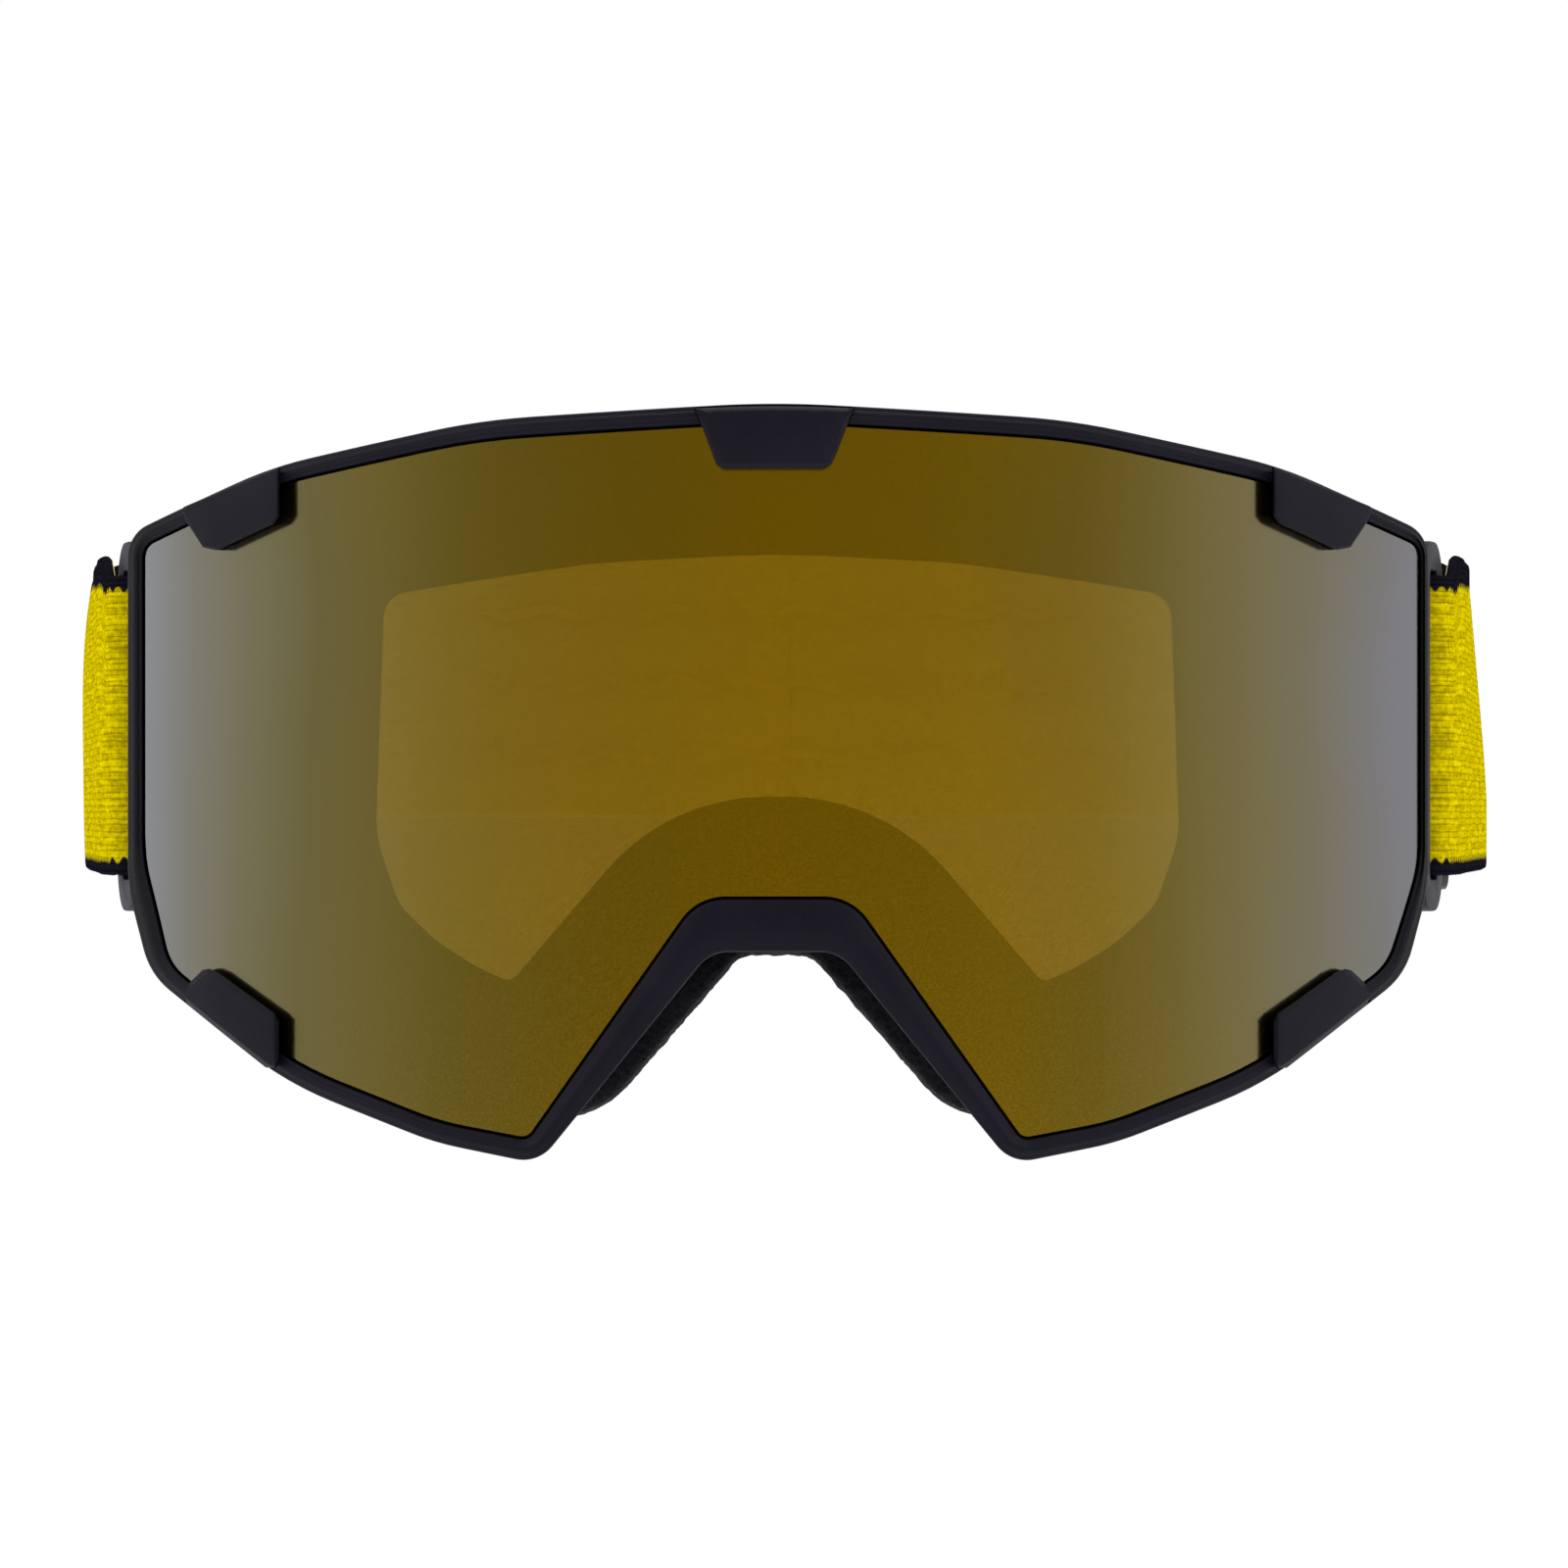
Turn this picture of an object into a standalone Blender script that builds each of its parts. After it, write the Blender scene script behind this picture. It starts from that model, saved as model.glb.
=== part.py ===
"""Ski goggles with a cylindrical mirrored lens, foam face seat, outriggers and strap.

All dimensions are in millimetres and are scaled to metres when a mesh is made.
+X is the viewer's right, the lens looks along -Y, +Z is up.  The origin is the
middle of the face seat: on the mid-plane, where the brow foam meets the face.
"left" is the -X side and "right" is the +X side.
"""
import math

import bmesh
import bpy
from mathutils import Vector

MM = 0.001
GAP = 0.35                      # air between neighbouring solids
RUN_GAP = 0.1                   # radial clearance of the hinge pins

# lens and face surfaces
LENS_RADIUS = 110.0             # cylinder of the lens, axis vertical
LENS_FRONT = -45.0              # lens front at the mid-plane
LENS_THICK = 2.0
LENS_INSET = 0.4                # from the rim's inner edge to the lens edge
GASKET_THICK = 3.4
GASKET_INSET, GASKET_REACH = 1.2, 5.0
INNER_LENS_THICK = 1.0
FACE_RADIUS = 95.0              # curve of the face seat, axis vertical
NOSE_RELIEF = 10.0              # how far the seat steps forward over the nose
NOSE_SPREAD = 20.0
NOSE_DROP = 26.0                # height over which that step grows

# front outline, right half: x, z, corner radius, from the top middle to the nose arch
FRONT = [
    (0.0, 48.5, 150.0), (38.0, 46.6, 100.0), (66.0, 41.4, 60.0), (87.2, 33.4, 4.5),
    (87.2, -14.0, 25.0), (83.8, -25.5, 10.0), (64.0, -39.3, 50.0), (44.0, -46.5, 40.0),
    (30.4, -49.0, 5.0), (8.2, -21.7, 5.0),
]
RIM_WIDTH = [2.3, 2.2, 2.1, 1.9, 2.9, 2.5, 2.5, 2.5, 3.5, 6.7]

# face flange and foam, right half, with the same corners as the front
SEAT_OUTER = [
    (0.0, 44.8, 150.0), (30.0, 43.4, 100.0), (56.0, 39.0, 60.0), (71.0, 33.5, 9.0),
    (71.3, -10.0, 25.0), (67.0, -21.0, 12.0), (52.0, -34.0, 50.0), (38.0, -42.0, 40.0),
    (24.8, -46.0, 12.0), (4.6, -22.6, 4.0),
]
SEAT_INNER = [
    (0.0, 30.1, 150.0), (24.0, 29.0, 100.0), (42.0, 26.6, 60.0), (52.6, 25.1, 3.5),
    (53.8, -7.0, 15.0), (50.6, -16.2, 8.0), (45.2, -21.2, 20.0), (39.8, -24.4, 20.0),
    (35.2, -26.4, 1.6), (14.0, -1.8, 28.0),
]
ARC_STEPS = [4, 2, 2, 4, 2, 2, 2, 2, 4, 3]
EDGE_STEPS = [4, 3, 3, 4, 2, 3, 3, 2, 4, 2]

# frame shell
RIM_DEPTH = 3.0
RIM_PROUD = 0.6
RIM_CROWN = 1.1
WALL_INSET = 0.5                # frame wall, from the edges of the rim
LEDGE_WIDTH = 4.0
LEDGE_THICK = 1.8
LEDGE_DEPTH = LENS_THICK + GASKET_THICK + INNER_LENS_THICK + 3 * GAP
FLANGE_THICK = 1.8
FLANGE_INSET, FLANGE_WALL, FLANGE_NOSE = 1.0, 3.4, 3.0
FOAM_LAYERS = [("foam_base", 8.0), ("foam_middle", 8.0), ("foam_fleece", 2.4)]
FLANGE_GAP = 0.5
FOAM_SETBACK, FOAM_NOSE = 2.5, 5.0
FOAM_DEPTH = sum(thick for _, thick in FOAM_LAYERS) + (len(FOAM_LAYERS) - 1) * GAP
SEAT_DEPTH = FOAM_DEPTH + FLANGE_GAP

# lens clips, right half: outline corners x, z and height over the lens
CLIP_HEIGHT = 2.7
CLIP_BACK = 0.3                 # the clips stand this far off the lens
CLIP_CHAMFER = 0.8
POCKET_BACK, POCKET_FRONT = 0.05, 9.0
CLIP_TOP = (
    [(-10.1, 48.1), (0.0, 48.5), (10.1, 48.1)],
    [(-10.1, 47.6), (-7.2, 39.9), (7.2, 39.9), (10.1, 47.6)],
)
CLIP_UPPER = (
    [(65.0, 41.2), (78.7, 36.5)],
    [(65.0, 34.9), (65.8, 33.9), (73.8, 30.7), (75.7, 31.1), (77.9, 34.3), (78.7, 35.9)],
)
CLIP_LOWER = (
    [(65.0, -31.2), (65.6, -30.2), (73.6, -25.0), (74.9, -24.5), (75.8, -24.7), (77.7, -26.4),
     (78.5, -28.2)],
    [(65.0, -36.8), (66.2, -37.7), (78.5, -29.0)],
)

# vents: centre x, width along x, and cut length along y
TOP_VENTS = [-52.0, -26.0, 0.0, 26.0, 52.0]
LOW_VENTS = [42.0, 58.0]
VENT_WIDTH = 18.0
LOW_VENT_WIDTH = 11.0
VENT_LENGTH = 6.0
TOP_VENT_SPAN = (28.0, 60.0)    # heights that the vent cutters run through
LOW_VENT_SPAN = (-60.0, -30.5)
VENT_FOAM = 2.2
VENT_FOAM_GAP = 0.65
VENT_FOAM_START, VENT_FOAM_END = 0.12, 0.88

# outriggers (strap arms) and their hinges
HINGE_X, HINGE_Y, HINGE_Z = 85.0, 9.5, 8.0
OUTRIGGER_ANGLE = math.radians(14.0)
OUTRIGGER_THICK = 3.0
OUTRIGGER_HALF = 25.5
OUTRIGGER_LENGTH = 24.5
NECK_LENGTH = 7.0
OUTRIGGER_CORNER = 7.0
KNUCKLE_RADIUS = 3.2
KNUCKLE_HALF = 11.5
KNUCKLE_EXTRA = 0.4             # the neck is thicker than the plate by this on each face
LUG_GAP = 0.4
LUG_EAR = 6.0
LUG_WALL = [(86.7, 0.7), (70.2, 11.6)]      # line of the frame's side wall, x and y
LUG_SPAN, LUG_BASE = (2.5, 14.0), (0.6, 2.4)
PIN_RADIUS = 1.2
PIN_END = 0.8
SLOT_START, SLOT_END = 13.0, 19.0
SLOT_SPARE = 0.6
SLOT_PINCH = 3.0                # the slot gathers the strap's upper edge by this
THROUGH = 40.0                  # half length of cutters that run right through

# strap: a closed loop as worn round a head or a helmet
STRAP_Z = 9.7
STRAP_HALF = 22.2
STRAP_THICK = 1.6
STRAP_RISE = 8.0                # the back sits higher than the sides
RISE_LENGTH = 28.0              # the climb, measured along y through the corner
STRAP_START = 31.0
STRAP_SPREAD = 2.6
LOOP_GAP = 3.0                  # from the sewn loop's ends to the band and its return
PLY_GAP = 0.5
PLY_MERGE = 40.0                # length over which the plies come together
BULGE = (107.5, 136.0, 70.0)
CORNER = (88.0, 228.0, 36.0)
RETURN_LENGTH = 88.0
GRIP_HALF_LENGTH = 55.0
GRIP_WIDTH, GRIP_THICK, GRIP_GAP = 3.2, 0.9, 0.4
GRIP_PITCH = 12.0

# slide adjusters
SLIDER_AT = 22.0                # from the start of the straight stretch
SLIDER_HALF = 7.0
SLIDER_BAR = 3.0
SLIDER_THICK = 2.0
SLIDER_SPARE = 0.6
RAIL_WIDTH = 3.0
FACE_GAP = 0.4
TAIL_THICK = 1.4
TAIL_LENGTH = 8.0

BLACK = (0.012, 0.011, 0.016)
MATERIALS = {
    "frame": (BLACK, 0.55, 0.0), "clip": ((0.02, 0.018, 0.026), 0.45, 0.0),
    "lens": ((0.30, 0.20, 0.02), 0.08, 0.8), "inner": ((0.6, 0.45, 0.1), 0.1, 0.0),
    "foam": ((0.015, 0.015, 0.017), 0.95, 0.0), "outrigger": ((0.07, 0.066, 0.085), 0.5, 0.0),
    "steel": ((0.5, 0.5, 0.52), 0.3, 1.0), "strap": ((0.75, 0.64, 0.01), 0.9, 0.0),
    "grip": ((0.7, 0.6, 0.05), 0.4, 0.0), "slider": ((0.02, 0.02, 0.022), 0.5, 0.0),
}


# ---------------------------------------------------------------- scene helpers
def clear_scene():
    for obj in list(bpy.data.objects):
        bpy.data.objects.remove(obj, do_unlink=True)


def material(key):
    name = "mat_" + key
    if name in bpy.data.materials:
        return bpy.data.materials[name]
    colour, roughness, metallic = MATERIALS[key]
    made = bpy.data.materials.new(name)
    made.use_nodes = True
    shader = made.node_tree.nodes["Principled BSDF"]
    shader.inputs["Base Color"].default_value = (*colour, 1.0)
    shader.inputs["Roughness"].default_value = roughness
    shader.inputs["Metallic"].default_value = metallic
    return made


def add_solid(name, key, verts, faces, origin=(0.0, 0.0, 0.0)):
    """Make one closed object; verts are in millimetres, origin is its pivot."""
    bm = bmesh.new()
    made = [bm.verts.new((Vector(v) - Vector(origin)) * MM) for v in verts]
    for face in faces:
        bm.faces.new([made[i] for i in face])
    bm.normal_update()
    bmesh.ops.triangulate(bm, faces=[f for f in bm.faces if len(f.verts) > 4])
    bmesh.ops.recalc_face_normals(bm, faces=bm.faces)
    mesh = bpy.data.meshes.new(name)
    bm.to_mesh(mesh)
    bm.free()
    mesh.shade_smooth()
    mesh.set_sharp_from_angle(angle=math.radians(35.0))
    obj = bpy.data.objects.new(name, mesh)
    obj.location = Vector(origin) * MM
    bpy.context.scene.collection.objects.link(obj)
    obj.data.materials.append(material(key))
    return obj


def boolean(obj, other, operation):
    """Join or cut with another object, which stays as a hidden guide."""
    mod = obj.modifiers.new(operation.lower(), "BOOLEAN")
    mod.operation = operation
    mod.solver = "EXACT"
    mod.object = other
    other.hide_render = True
    other.display_type = "WIRE"


def prism(name, key, outline, low, high, place):
    """Extrude a flat outline from low to high; place maps (a, b, h) to x, y, z."""
    count = len(outline)
    verts = [place(a, b, low) for a, b in outline] + [place(a, b, high) for a, b in outline]
    faces = [tuple(range(count))[::-1], tuple(range(count, 2 * count))]
    faces += [(i, (i + 1) % count, count + (i + 1) % count, count + i) for i in range(count)]
    return add_solid(name, key, verts, faces)


def box(name, key, low, high, place):
    outline = [(low[0], low[1]), (high[0], low[1]), (high[0], high[1]), (low[0], high[1])]
    return prism(name, key, outline, low[2], high[2], place)


# ---------------------------------------------------------------- outlines
def face_y(x, z):
    """Rear surface of the face foam: a cylinder, stepped forward over the nose."""
    curve = FACE_RADIUS - math.sqrt(FACE_RADIUS ** 2 - x ** 2)
    low = min(1.0, max(0.0, -z / NOSE_DROP))
    return curve - NOSE_RELIEF * math.exp(-(x / NOSE_SPREAD) ** 2) * low


def lens_y(x):
    """Front surface of the outer lens, a vertical cylinder."""
    return LENS_FRONT + LENS_RADIUS - math.sqrt(LENS_RADIUS ** 2 - x ** 2)


def full_ring(values):
    """Right-half list, top first, to the whole closed list, clockwise."""
    return values + values[:0:-1]


def inset_corners(corners, insets):
    """Move every edge of the closed outline inwards by its own inset."""
    points = full_ring([(x, z) for x, z, _ in corners])
    count = len(corners)
    points[count:] = [(-x, z) for x, z in points[count:]]
    radii = full_ring([r for _, _, r in corners])
    moves = insets + insets[-2::-1]
    total = len(points)
    lines = []
    for i in range(total):
        ax, az = points[i]
        bx, bz = points[(i + 1) % total]
        length = math.hypot(bx - ax, bz - az)
        dx, dz = (bx - ax) / length, (bz - az) / length
        lines.append((ax + dz * moves[i], az - dx * moves[i], dx, dz, moves[i]))
    result = []
    for i in range(total):
        ax, az, adx, adz, am = lines[i - 1]
        bx, bz, bdx, bdz, bm = lines[i]
        cross = adx * bdz - adz * bdx
        step = ((bx - ax) * bdz - (bz - az) * bdx) / cross
        turn = 0.5 * (am + bm) * (1.0 if cross < 0 else -1.0)
        result.append((ax + adx * step, az + adz * step, max(0.6, radii[i] - turn)))
    return result


def rounded_loop(corners, insets=None):
    """Closed outline with rounded corners, always the same number of points."""
    ring = inset_corners(corners, insets or [0.0] * len(corners))
    total = len(ring)
    arcs = full_ring(ARC_STEPS)
    edges = EDGE_STEPS + EDGE_STEPS[-2::-1]
    corner_arcs = []
    for i in range(total):
        before, here, after = ring[i - 1], ring[i], ring[(i + 1) % total]
        a = Vector((here[0] - before[0], here[1] - before[1])).normalized()
        b = Vector((after[0] - here[0], after[1] - here[1])).normalized()
        turn = a.angle_signed(b)
        reach = here[2] * math.tan(abs(turn) / 2.0)
        start = Vector(here[:2]) - a * reach
        side = Vector((a.y, -a.x)) * (1.0 if turn > 0 else -1.0)
        centre = start + side * here[2]
        arm = start - centre
        points = []
        for step in range(arcs[i] + 1):
            angle = -turn * step / arcs[i]
            c, s = math.cos(angle), math.sin(angle)
            points.append(centre + Vector((arm.x * c - arm.y * s, arm.x * s + arm.y * c)))
        corner_arcs.append(points)
    loop = []
    for i in range(total):
        loop += corner_arcs[i]
        start, end = corner_arcs[i][-1], corner_arcs[(i + 1) % total][0]
        for step in range(1, edges[i]):
            loop.append(start.lerp(end, step / edges[i]))
    return loop


def rim_inner(extra=0.0):
    """Inner edge of the rim, moved further inwards by extra."""
    return rounded_loop(FRONT, [width + extra for width in RIM_WIDTH])


def seat_outer(inset=0.0, nose=0.0):
    insets = [inset] * 8 + [inset + nose, inset]
    return rounded_loop(SEAT_OUTER, insets)


def seat_inner(spread=0.0, nose=0.0):
    insets = [-spread] * 8 + [-spread - nose, -spread - nose]
    return rounded_loop(SEAT_INNER, insets)


def on_lens(loop, depth):
    return [(p.x, lens_y(p.x) + depth, p.y) for p in loop]


def on_face(loop, depth):
    return [(p.x, face_y(p.x, p.y) - depth, p.y) for p in loop]


def across(outer, inner, depth):
    """Loops over the face surface from the outer to the inner outline."""
    middle = [a.lerp(b, 0.5) for a, b in zip(outer, inner)]
    return [on_face(outer, depth), on_face(middle, depth), on_face(inner, depth)]


def ring_solid(name, key, loops):
    """Closed ring whose section runs through the given loops in order.

    Its quads are split the same way on every face that spans the ring's width, so
    that two rings which lie on each other have matching creases.
    """
    count, rows = len(loops[0]), len(loops)
    sizes = [sum(math.hypot(p[0], p[2]) for p in loop) for loop in loops]
    verts = [p for loop in loops for p in loop]
    faces = []
    for r in range(rows):
        nxt = (r + 1) % rows
        for i in range(count):
            j = (i + 1) % count
            a, b, c, d = r * count + i, r * count + j, nxt * count + j, nxt * count + i
            faces += [(a, b, c), (a, c, d)] if sizes[r] > sizes[nxt] else [(a, b, d), (b, c, d)]
    return add_solid(name, key, verts, faces)


def chain_z(chain, x):
    """Height of an x-sorted chain of points at x."""
    if x <= chain[0][0]:
        return chain[0][1]
    for (ax, az), (bx, bz) in zip(chain, chain[1:]):
        if x <= bx:
            return az + (bz - az) * (x - ax) / (bx - ax) if bx > ax else bz
    return chain[-1][1]


def curved_slab(name, key, top, bottom, front, back, widest=4.0, least=0.7):
    """Plate that follows the lens cylinder between two x-sorted edge chains."""
    marks = sorted({round(p[0], 4) for p in top + bottom})
    xs = [marks[0]]
    for mark in marks[1:]:
        if mark - xs[-1] < least and mark != marks[-1]:
            continue
        steps = max(1, math.ceil((mark - xs[-1]) / widest))
        start = xs[-1]
        xs += [start + (mark - start) * s / steps for s in range(1, steps + 1)]
    verts = []
    for x in xs:
        high, low = chain_z(top, x), chain_z(bottom, x)
        verts += [(x, lens_y(x) + front, high), (x, lens_y(x) + front, low)]
        verts += [(x, lens_y(x) + back, low), (x, lens_y(x) + back, high)]
    faces = [(0, 1, 2, 3)]
    for i in range(len(xs) - 1):
        a, b = 4 * i, 4 * i + 4
        for k in range(4):
            m = (k + 1) % 4
            faces.append((a + k, b + k, b + m, a + m))
    last = 4 * (len(xs) - 1)
    faces.append((last + 3, last + 2, last + 1, last))
    return add_solid(name, key, verts, faces)


# ---------------------------------------------------------------- lens stack
def lens_plate(name, key, inset, front, thick):
    """Lens sheet inside the rim; its straight side edges part the top from the bottom."""
    loop = rim_inner(inset)
    right = max(p.x for p in loop)
    side = [p.y for p in loop if p.x > right - 0.01]
    top = sorted({(p.x, p.y) for p in loop if p.y >= max(side) - 0.01})
    bottom = sorted({(p.x, p.y) for p in loop if p.y <= min(side) + 0.01})
    return curved_slab(name, key, top, bottom, front, front + thick)


def lens_stack():
    lens_plate("outer_lens", "lens", LENS_INSET, 0.0, LENS_THICK)
    front = LENS_THICK + GAP
    back = front + GASKET_THICK
    outer, inner = rim_inner(GASKET_INSET), rim_inner(GASKET_REACH)
    ring_solid("lens_gasket", "foam", [
        on_lens(outer, front), on_lens(inner, front), on_lens(inner, back), on_lens(outer, back),
    ])
    lens_plate("inner_lens", "inner", GASKET_INSET, back + GAP, INNER_LENS_THICK)


# ---------------------------------------------------------------- frame
def outer_rim():
    outer, inner = rounded_loop(FRONT), rim_inner()
    middle = [a.lerp(b, 0.5) for a, b in zip(outer, inner)]
    return ring_solid("outer_rim", "frame", [
        on_lens(outer, RIM_DEPTH), on_lens(outer, -RIM_PROUD), on_lens(middle, -RIM_CROWN),
        on_lens(inner, -RIM_PROUD), on_lens(inner, RIM_DEPTH),
    ])


def frame_body():
    """Shell from behind the rim, past the lens ledge, to the face flange."""
    front = RIM_DEPTH + GAP
    ledge = LEDGE_DEPTH
    skin = rounded_loop(FRONT, [WALL_INSET] * len(FRONT))
    wall = rim_inner(WALL_INSET)
    flange_outer, flange_inner = seat_outer(FLANGE_INSET, FLANGE_NOSE), seat_inner()
    body = ring_solid("frame_body", "frame", [
        on_lens(skin, front),
        *across(flange_outer, flange_inner, SEAT_DEPTH),
        on_face(flange_inner, SEAT_DEPTH + FLANGE_THICK),
        on_face(seat_outer(FLANGE_WALL, FLANGE_NOSE), SEAT_DEPTH + FLANGE_THICK),
        on_lens(wall, ledge + LEDGE_THICK),
        on_lens(rim_inner(LEDGE_WIDTH), ledge + LEDGE_THICK),
        on_lens(rim_inner(LEDGE_WIDTH), ledge),
        on_lens(wall, ledge),
        on_lens(wall, front),
    ])
    for index, x in enumerate(TOP_VENTS):
        cut_vent(body, f"top_{index}", x, VENT_WIDTH, TOP_VENT_SPAN)
    for side in (-1.0, 1.0):
        for index, x in enumerate(LOW_VENTS):
            cut_vent(body, f"low_{side:+.0f}_{index}", side * x, LOW_VENT_WIDTH, LOW_VENT_SPAN)


def wall_middle_y(x):
    """Middle of the frame wall, between the lens ledge and the flange."""
    ledge = lens_y(x) + LEDGE_DEPTH + LEDGE_THICK
    flange = face_y(x, 0.0) - SEAT_DEPTH - FLANGE_THICK
    return 0.5 * (ledge + flange)


def cut_vent(body, label, x, width, span):
    """Cut one vent window, slanted so that it follows the curve of the frame."""
    left, right, half = x - width / 2, x + width / 2, VENT_LENGTH / 2
    left_y, right_y = wall_middle_y(left), wall_middle_y(right)
    corners = [(left, left_y - half), (right, right_y - half), (right, right_y + half), (left, left_y + half)]
    cutter = prism("cut_vent_" + label, "frame", corners, span[0], span[1], lambda a, b, h: (a, b, h))
    boolean(body, cutter, "DIFFERENCE")


def vent_foam(name, keep):
    """Strip of open foam under the vents, inside the frame wall."""
    def strip(extra):
        front = on_lens(rim_inner(WALL_INSET + extra), LEDGE_DEPTH + LEDGE_THICK)
        back = on_face(seat_outer(FLANGE_WALL + extra, FLANGE_NOSE), SEAT_DEPTH + FLANGE_THICK)
        pairs = [(Vector(a), Vector(b)) for a, b in zip(front, back)]
        pairs = [pair for pair in pairs if keep(pair[0])]
        pairs.sort(key=lambda pair: pair[0].x)
        return [[a.lerp(b, part) for a, b in pairs] for part in (VENT_FOAM_START, VENT_FOAM_END)]

    outer, inner = strip(VENT_FOAM_GAP), strip(VENT_FOAM_GAP + VENT_FOAM)
    count = min(len(outer[0]), len(inner[0]))
    spare_out, spare_in = (len(outer[0]) - count) // 2, (len(inner[0]) - count) // 2
    verts = []
    for i in range(count):
        a, b = i + spare_out, i + spare_in
        verts += [outer[0][a], outer[1][a], inner[1][b], inner[0][b]]
    faces = [(0, 1, 2, 3)]
    for i in range(count - 1):
        a, b = 4 * i, 4 * i + 4
        faces += [(a + k, b + k, b + (k + 1) % 4, a + (k + 1) % 4) for k in range(4)]
    faces.append(tuple(4 * (count - 1) + k for k in (3, 2, 1, 0)))
    return add_solid(name, "foam", verts, faces)


def vents():
    vent_foam("vent_foam_top", lambda p: p.z > 36.0)
    for side, label in ((-1.0, "left"), (1.0, "right")):
        vent_foam("vent_foam_" + label, lambda p: p.z < -28.0 and 34.0 < side * p.x < 78.0)


def face_foam():
    """Foam layers from the flange to the face, set back from its inner edge."""
    depth = FOAM_DEPTH
    outer, inner = seat_outer(), seat_inner(FOAM_SETBACK, FOAM_NOSE)
    for name, thick in FOAM_LAYERS:
        front, back = across(outer, inner, depth), across(outer, inner, depth - thick)
        ring_solid(name, "foam", back + front[::-1])
        depth -= thick + GAP


# ---------------------------------------------------------------- lens clips
def clip(name, shape, rim, side=1.0):
    """Raised block that holds the lens edge, seated in a pocket of the rim."""
    def chain(points):
        return sorted((side * x, z) for x, z in points)

    def spread(points, by):
        ends = {points[0][0]: -GAP, points[-1][0]: GAP}
        return [(x + ends.get(x, 0.0), z + by) for x, z in points]

    top, bottom = chain(shape[0]), chain(shape[1])
    block = curved_slab(name, "clip", top, bottom, -CLIP_HEIGHT, -CLIP_BACK, widest=3.0)
    bevel = block.modifiers.new("chamfer", "BEVEL")
    bevel.width = CLIP_CHAMFER * MM
    bevel.segments = 1
    bevel.limit_method = "ANGLE"
    bevel.angle_limit = math.radians(50.0)
    pocket = curved_slab("cut_" + name, "clip", spread(top, GAP), spread(bottom, -GAP),
                         -POCKET_FRONT, POCKET_BACK, widest=3.0)
    boolean(rim, pocket, "DIFFERENCE")


def clips(rim):
    clip("clip_top", CLIP_TOP, rim)
    for side, label in ((-1.0, "left"), (1.0, "right")):
        clip("clip_upper_" + label, CLIP_UPPER, rim, side)
        clip("clip_lower_" + label, CLIP_LOWER, rim, side)


# ---------------------------------------------------------------- outriggers
def outrigger_place(side):
    """Map (along, outward, height) of an outrigger to x, y, z."""
    s, c = math.sin(OUTRIGGER_ANGLE), math.cos(OUTRIGGER_ANGLE)

    def place(u, v, h):
        return (side * (HINGE_X + u * s + v * c), HINGE_Y + u * c - v * s, HINGE_Z + h)
    return place


def circle(radius, steps=20):
    angles = [2 * math.pi * i / steps for i in range(steps)]
    return [(radius * math.cos(angle), radius * math.sin(angle)) for angle in angles]


def hull(points):
    """Convex outline of flat points, counter-clockwise."""
    points = sorted(set(points))
    chains = []
    for ordered in (points, points[::-1]):
        chain = []
        for p in ordered:
            while len(chain) > 1 and (
                (chain[-1][0] - chain[-2][0]) * (p[1] - chain[-2][1])
                - (chain[-1][1] - chain[-2][1]) * (p[0] - chain[-2][0])
            ) <= 0:
                chain.pop()
            chain.append(p)
        chains.append(chain[:-1])
    return chains[0] + chains[1]


def rounded_rectangle(low, high, radius, steps=4):
    """Corners low and high of a flat rectangle, rounded."""
    points = []
    centres = [(high[0] - radius, high[1] - radius, 0), (low[0] + radius, high[1] - radius, 1),
               (low[0] + radius, low[1] + radius, 2), (high[0] - radius, low[1] + radius, 3)]
    for cx, cy, quarter in centres:
        for step in range(steps + 1):
            angle = math.pi / 2 * (quarter + step / steps)
            points.append((cx + radius * math.cos(angle), cy + radius * math.sin(angle)))
    return points


def outrigger(side, label):
    """Hinged plate with a knuckle at the front and a slot for the strap."""
    place = outrigger_place(side)
    half = OUTRIGGER_THICK / 2
    shape = rounded_rectangle((NECK_LENGTH, -OUTRIGGER_HALF), (OUTRIGGER_LENGTH, OUTRIGGER_HALF),
                              OUTRIGGER_CORNER)
    arm = prism("outrigger_" + label, "outrigger", shape, -half, half, lambda a, b, h: place(a, h, b))
    neck_half = half + KNUCKLE_EXTRA
    neck_start = math.sqrt(KNUCKLE_RADIUS ** 2 - neck_half ** 2)
    neck_angle = math.atan2(neck_half, neck_start)
    steps = 18
    keyhole = [(NECK_LENGTH + 1.5, -neck_half), (NECK_LENGTH + 1.5, neck_half)]
    for step in range(steps + 1):
        angle = neck_angle + (2 * math.pi - 2 * neck_angle) * step / steps
        keyhole.append((KNUCKLE_RADIUS * math.cos(angle), KNUCKLE_RADIUS * math.sin(angle)))
    knuckle = prism("join_knuckle_" + label, "outrigger", keyhole, -KNUCKLE_HALF, KNUCKLE_HALF, place)
    bore = prism("cut_bore_" + label, "outrigger", circle(PIN_RADIUS + RUN_GAP), -THROUGH, THROUGH, place)
    strap_mid = STRAP_Z - HINGE_Z
    reach = STRAP_HALF + SLOT_SPARE
    slot = box("cut_slot_" + label, "outrigger", (SLOT_START, -KNUCKLE_RADIUS, strap_mid - reach),
               (SLOT_END, KNUCKLE_RADIUS, strap_mid + reach - SLOT_PINCH), place)
    boolean(arm, knuckle, "UNION")
    boolean(arm, bore, "DIFFERENCE")
    boolean(arm, slot, "DIFFERENCE")


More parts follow.
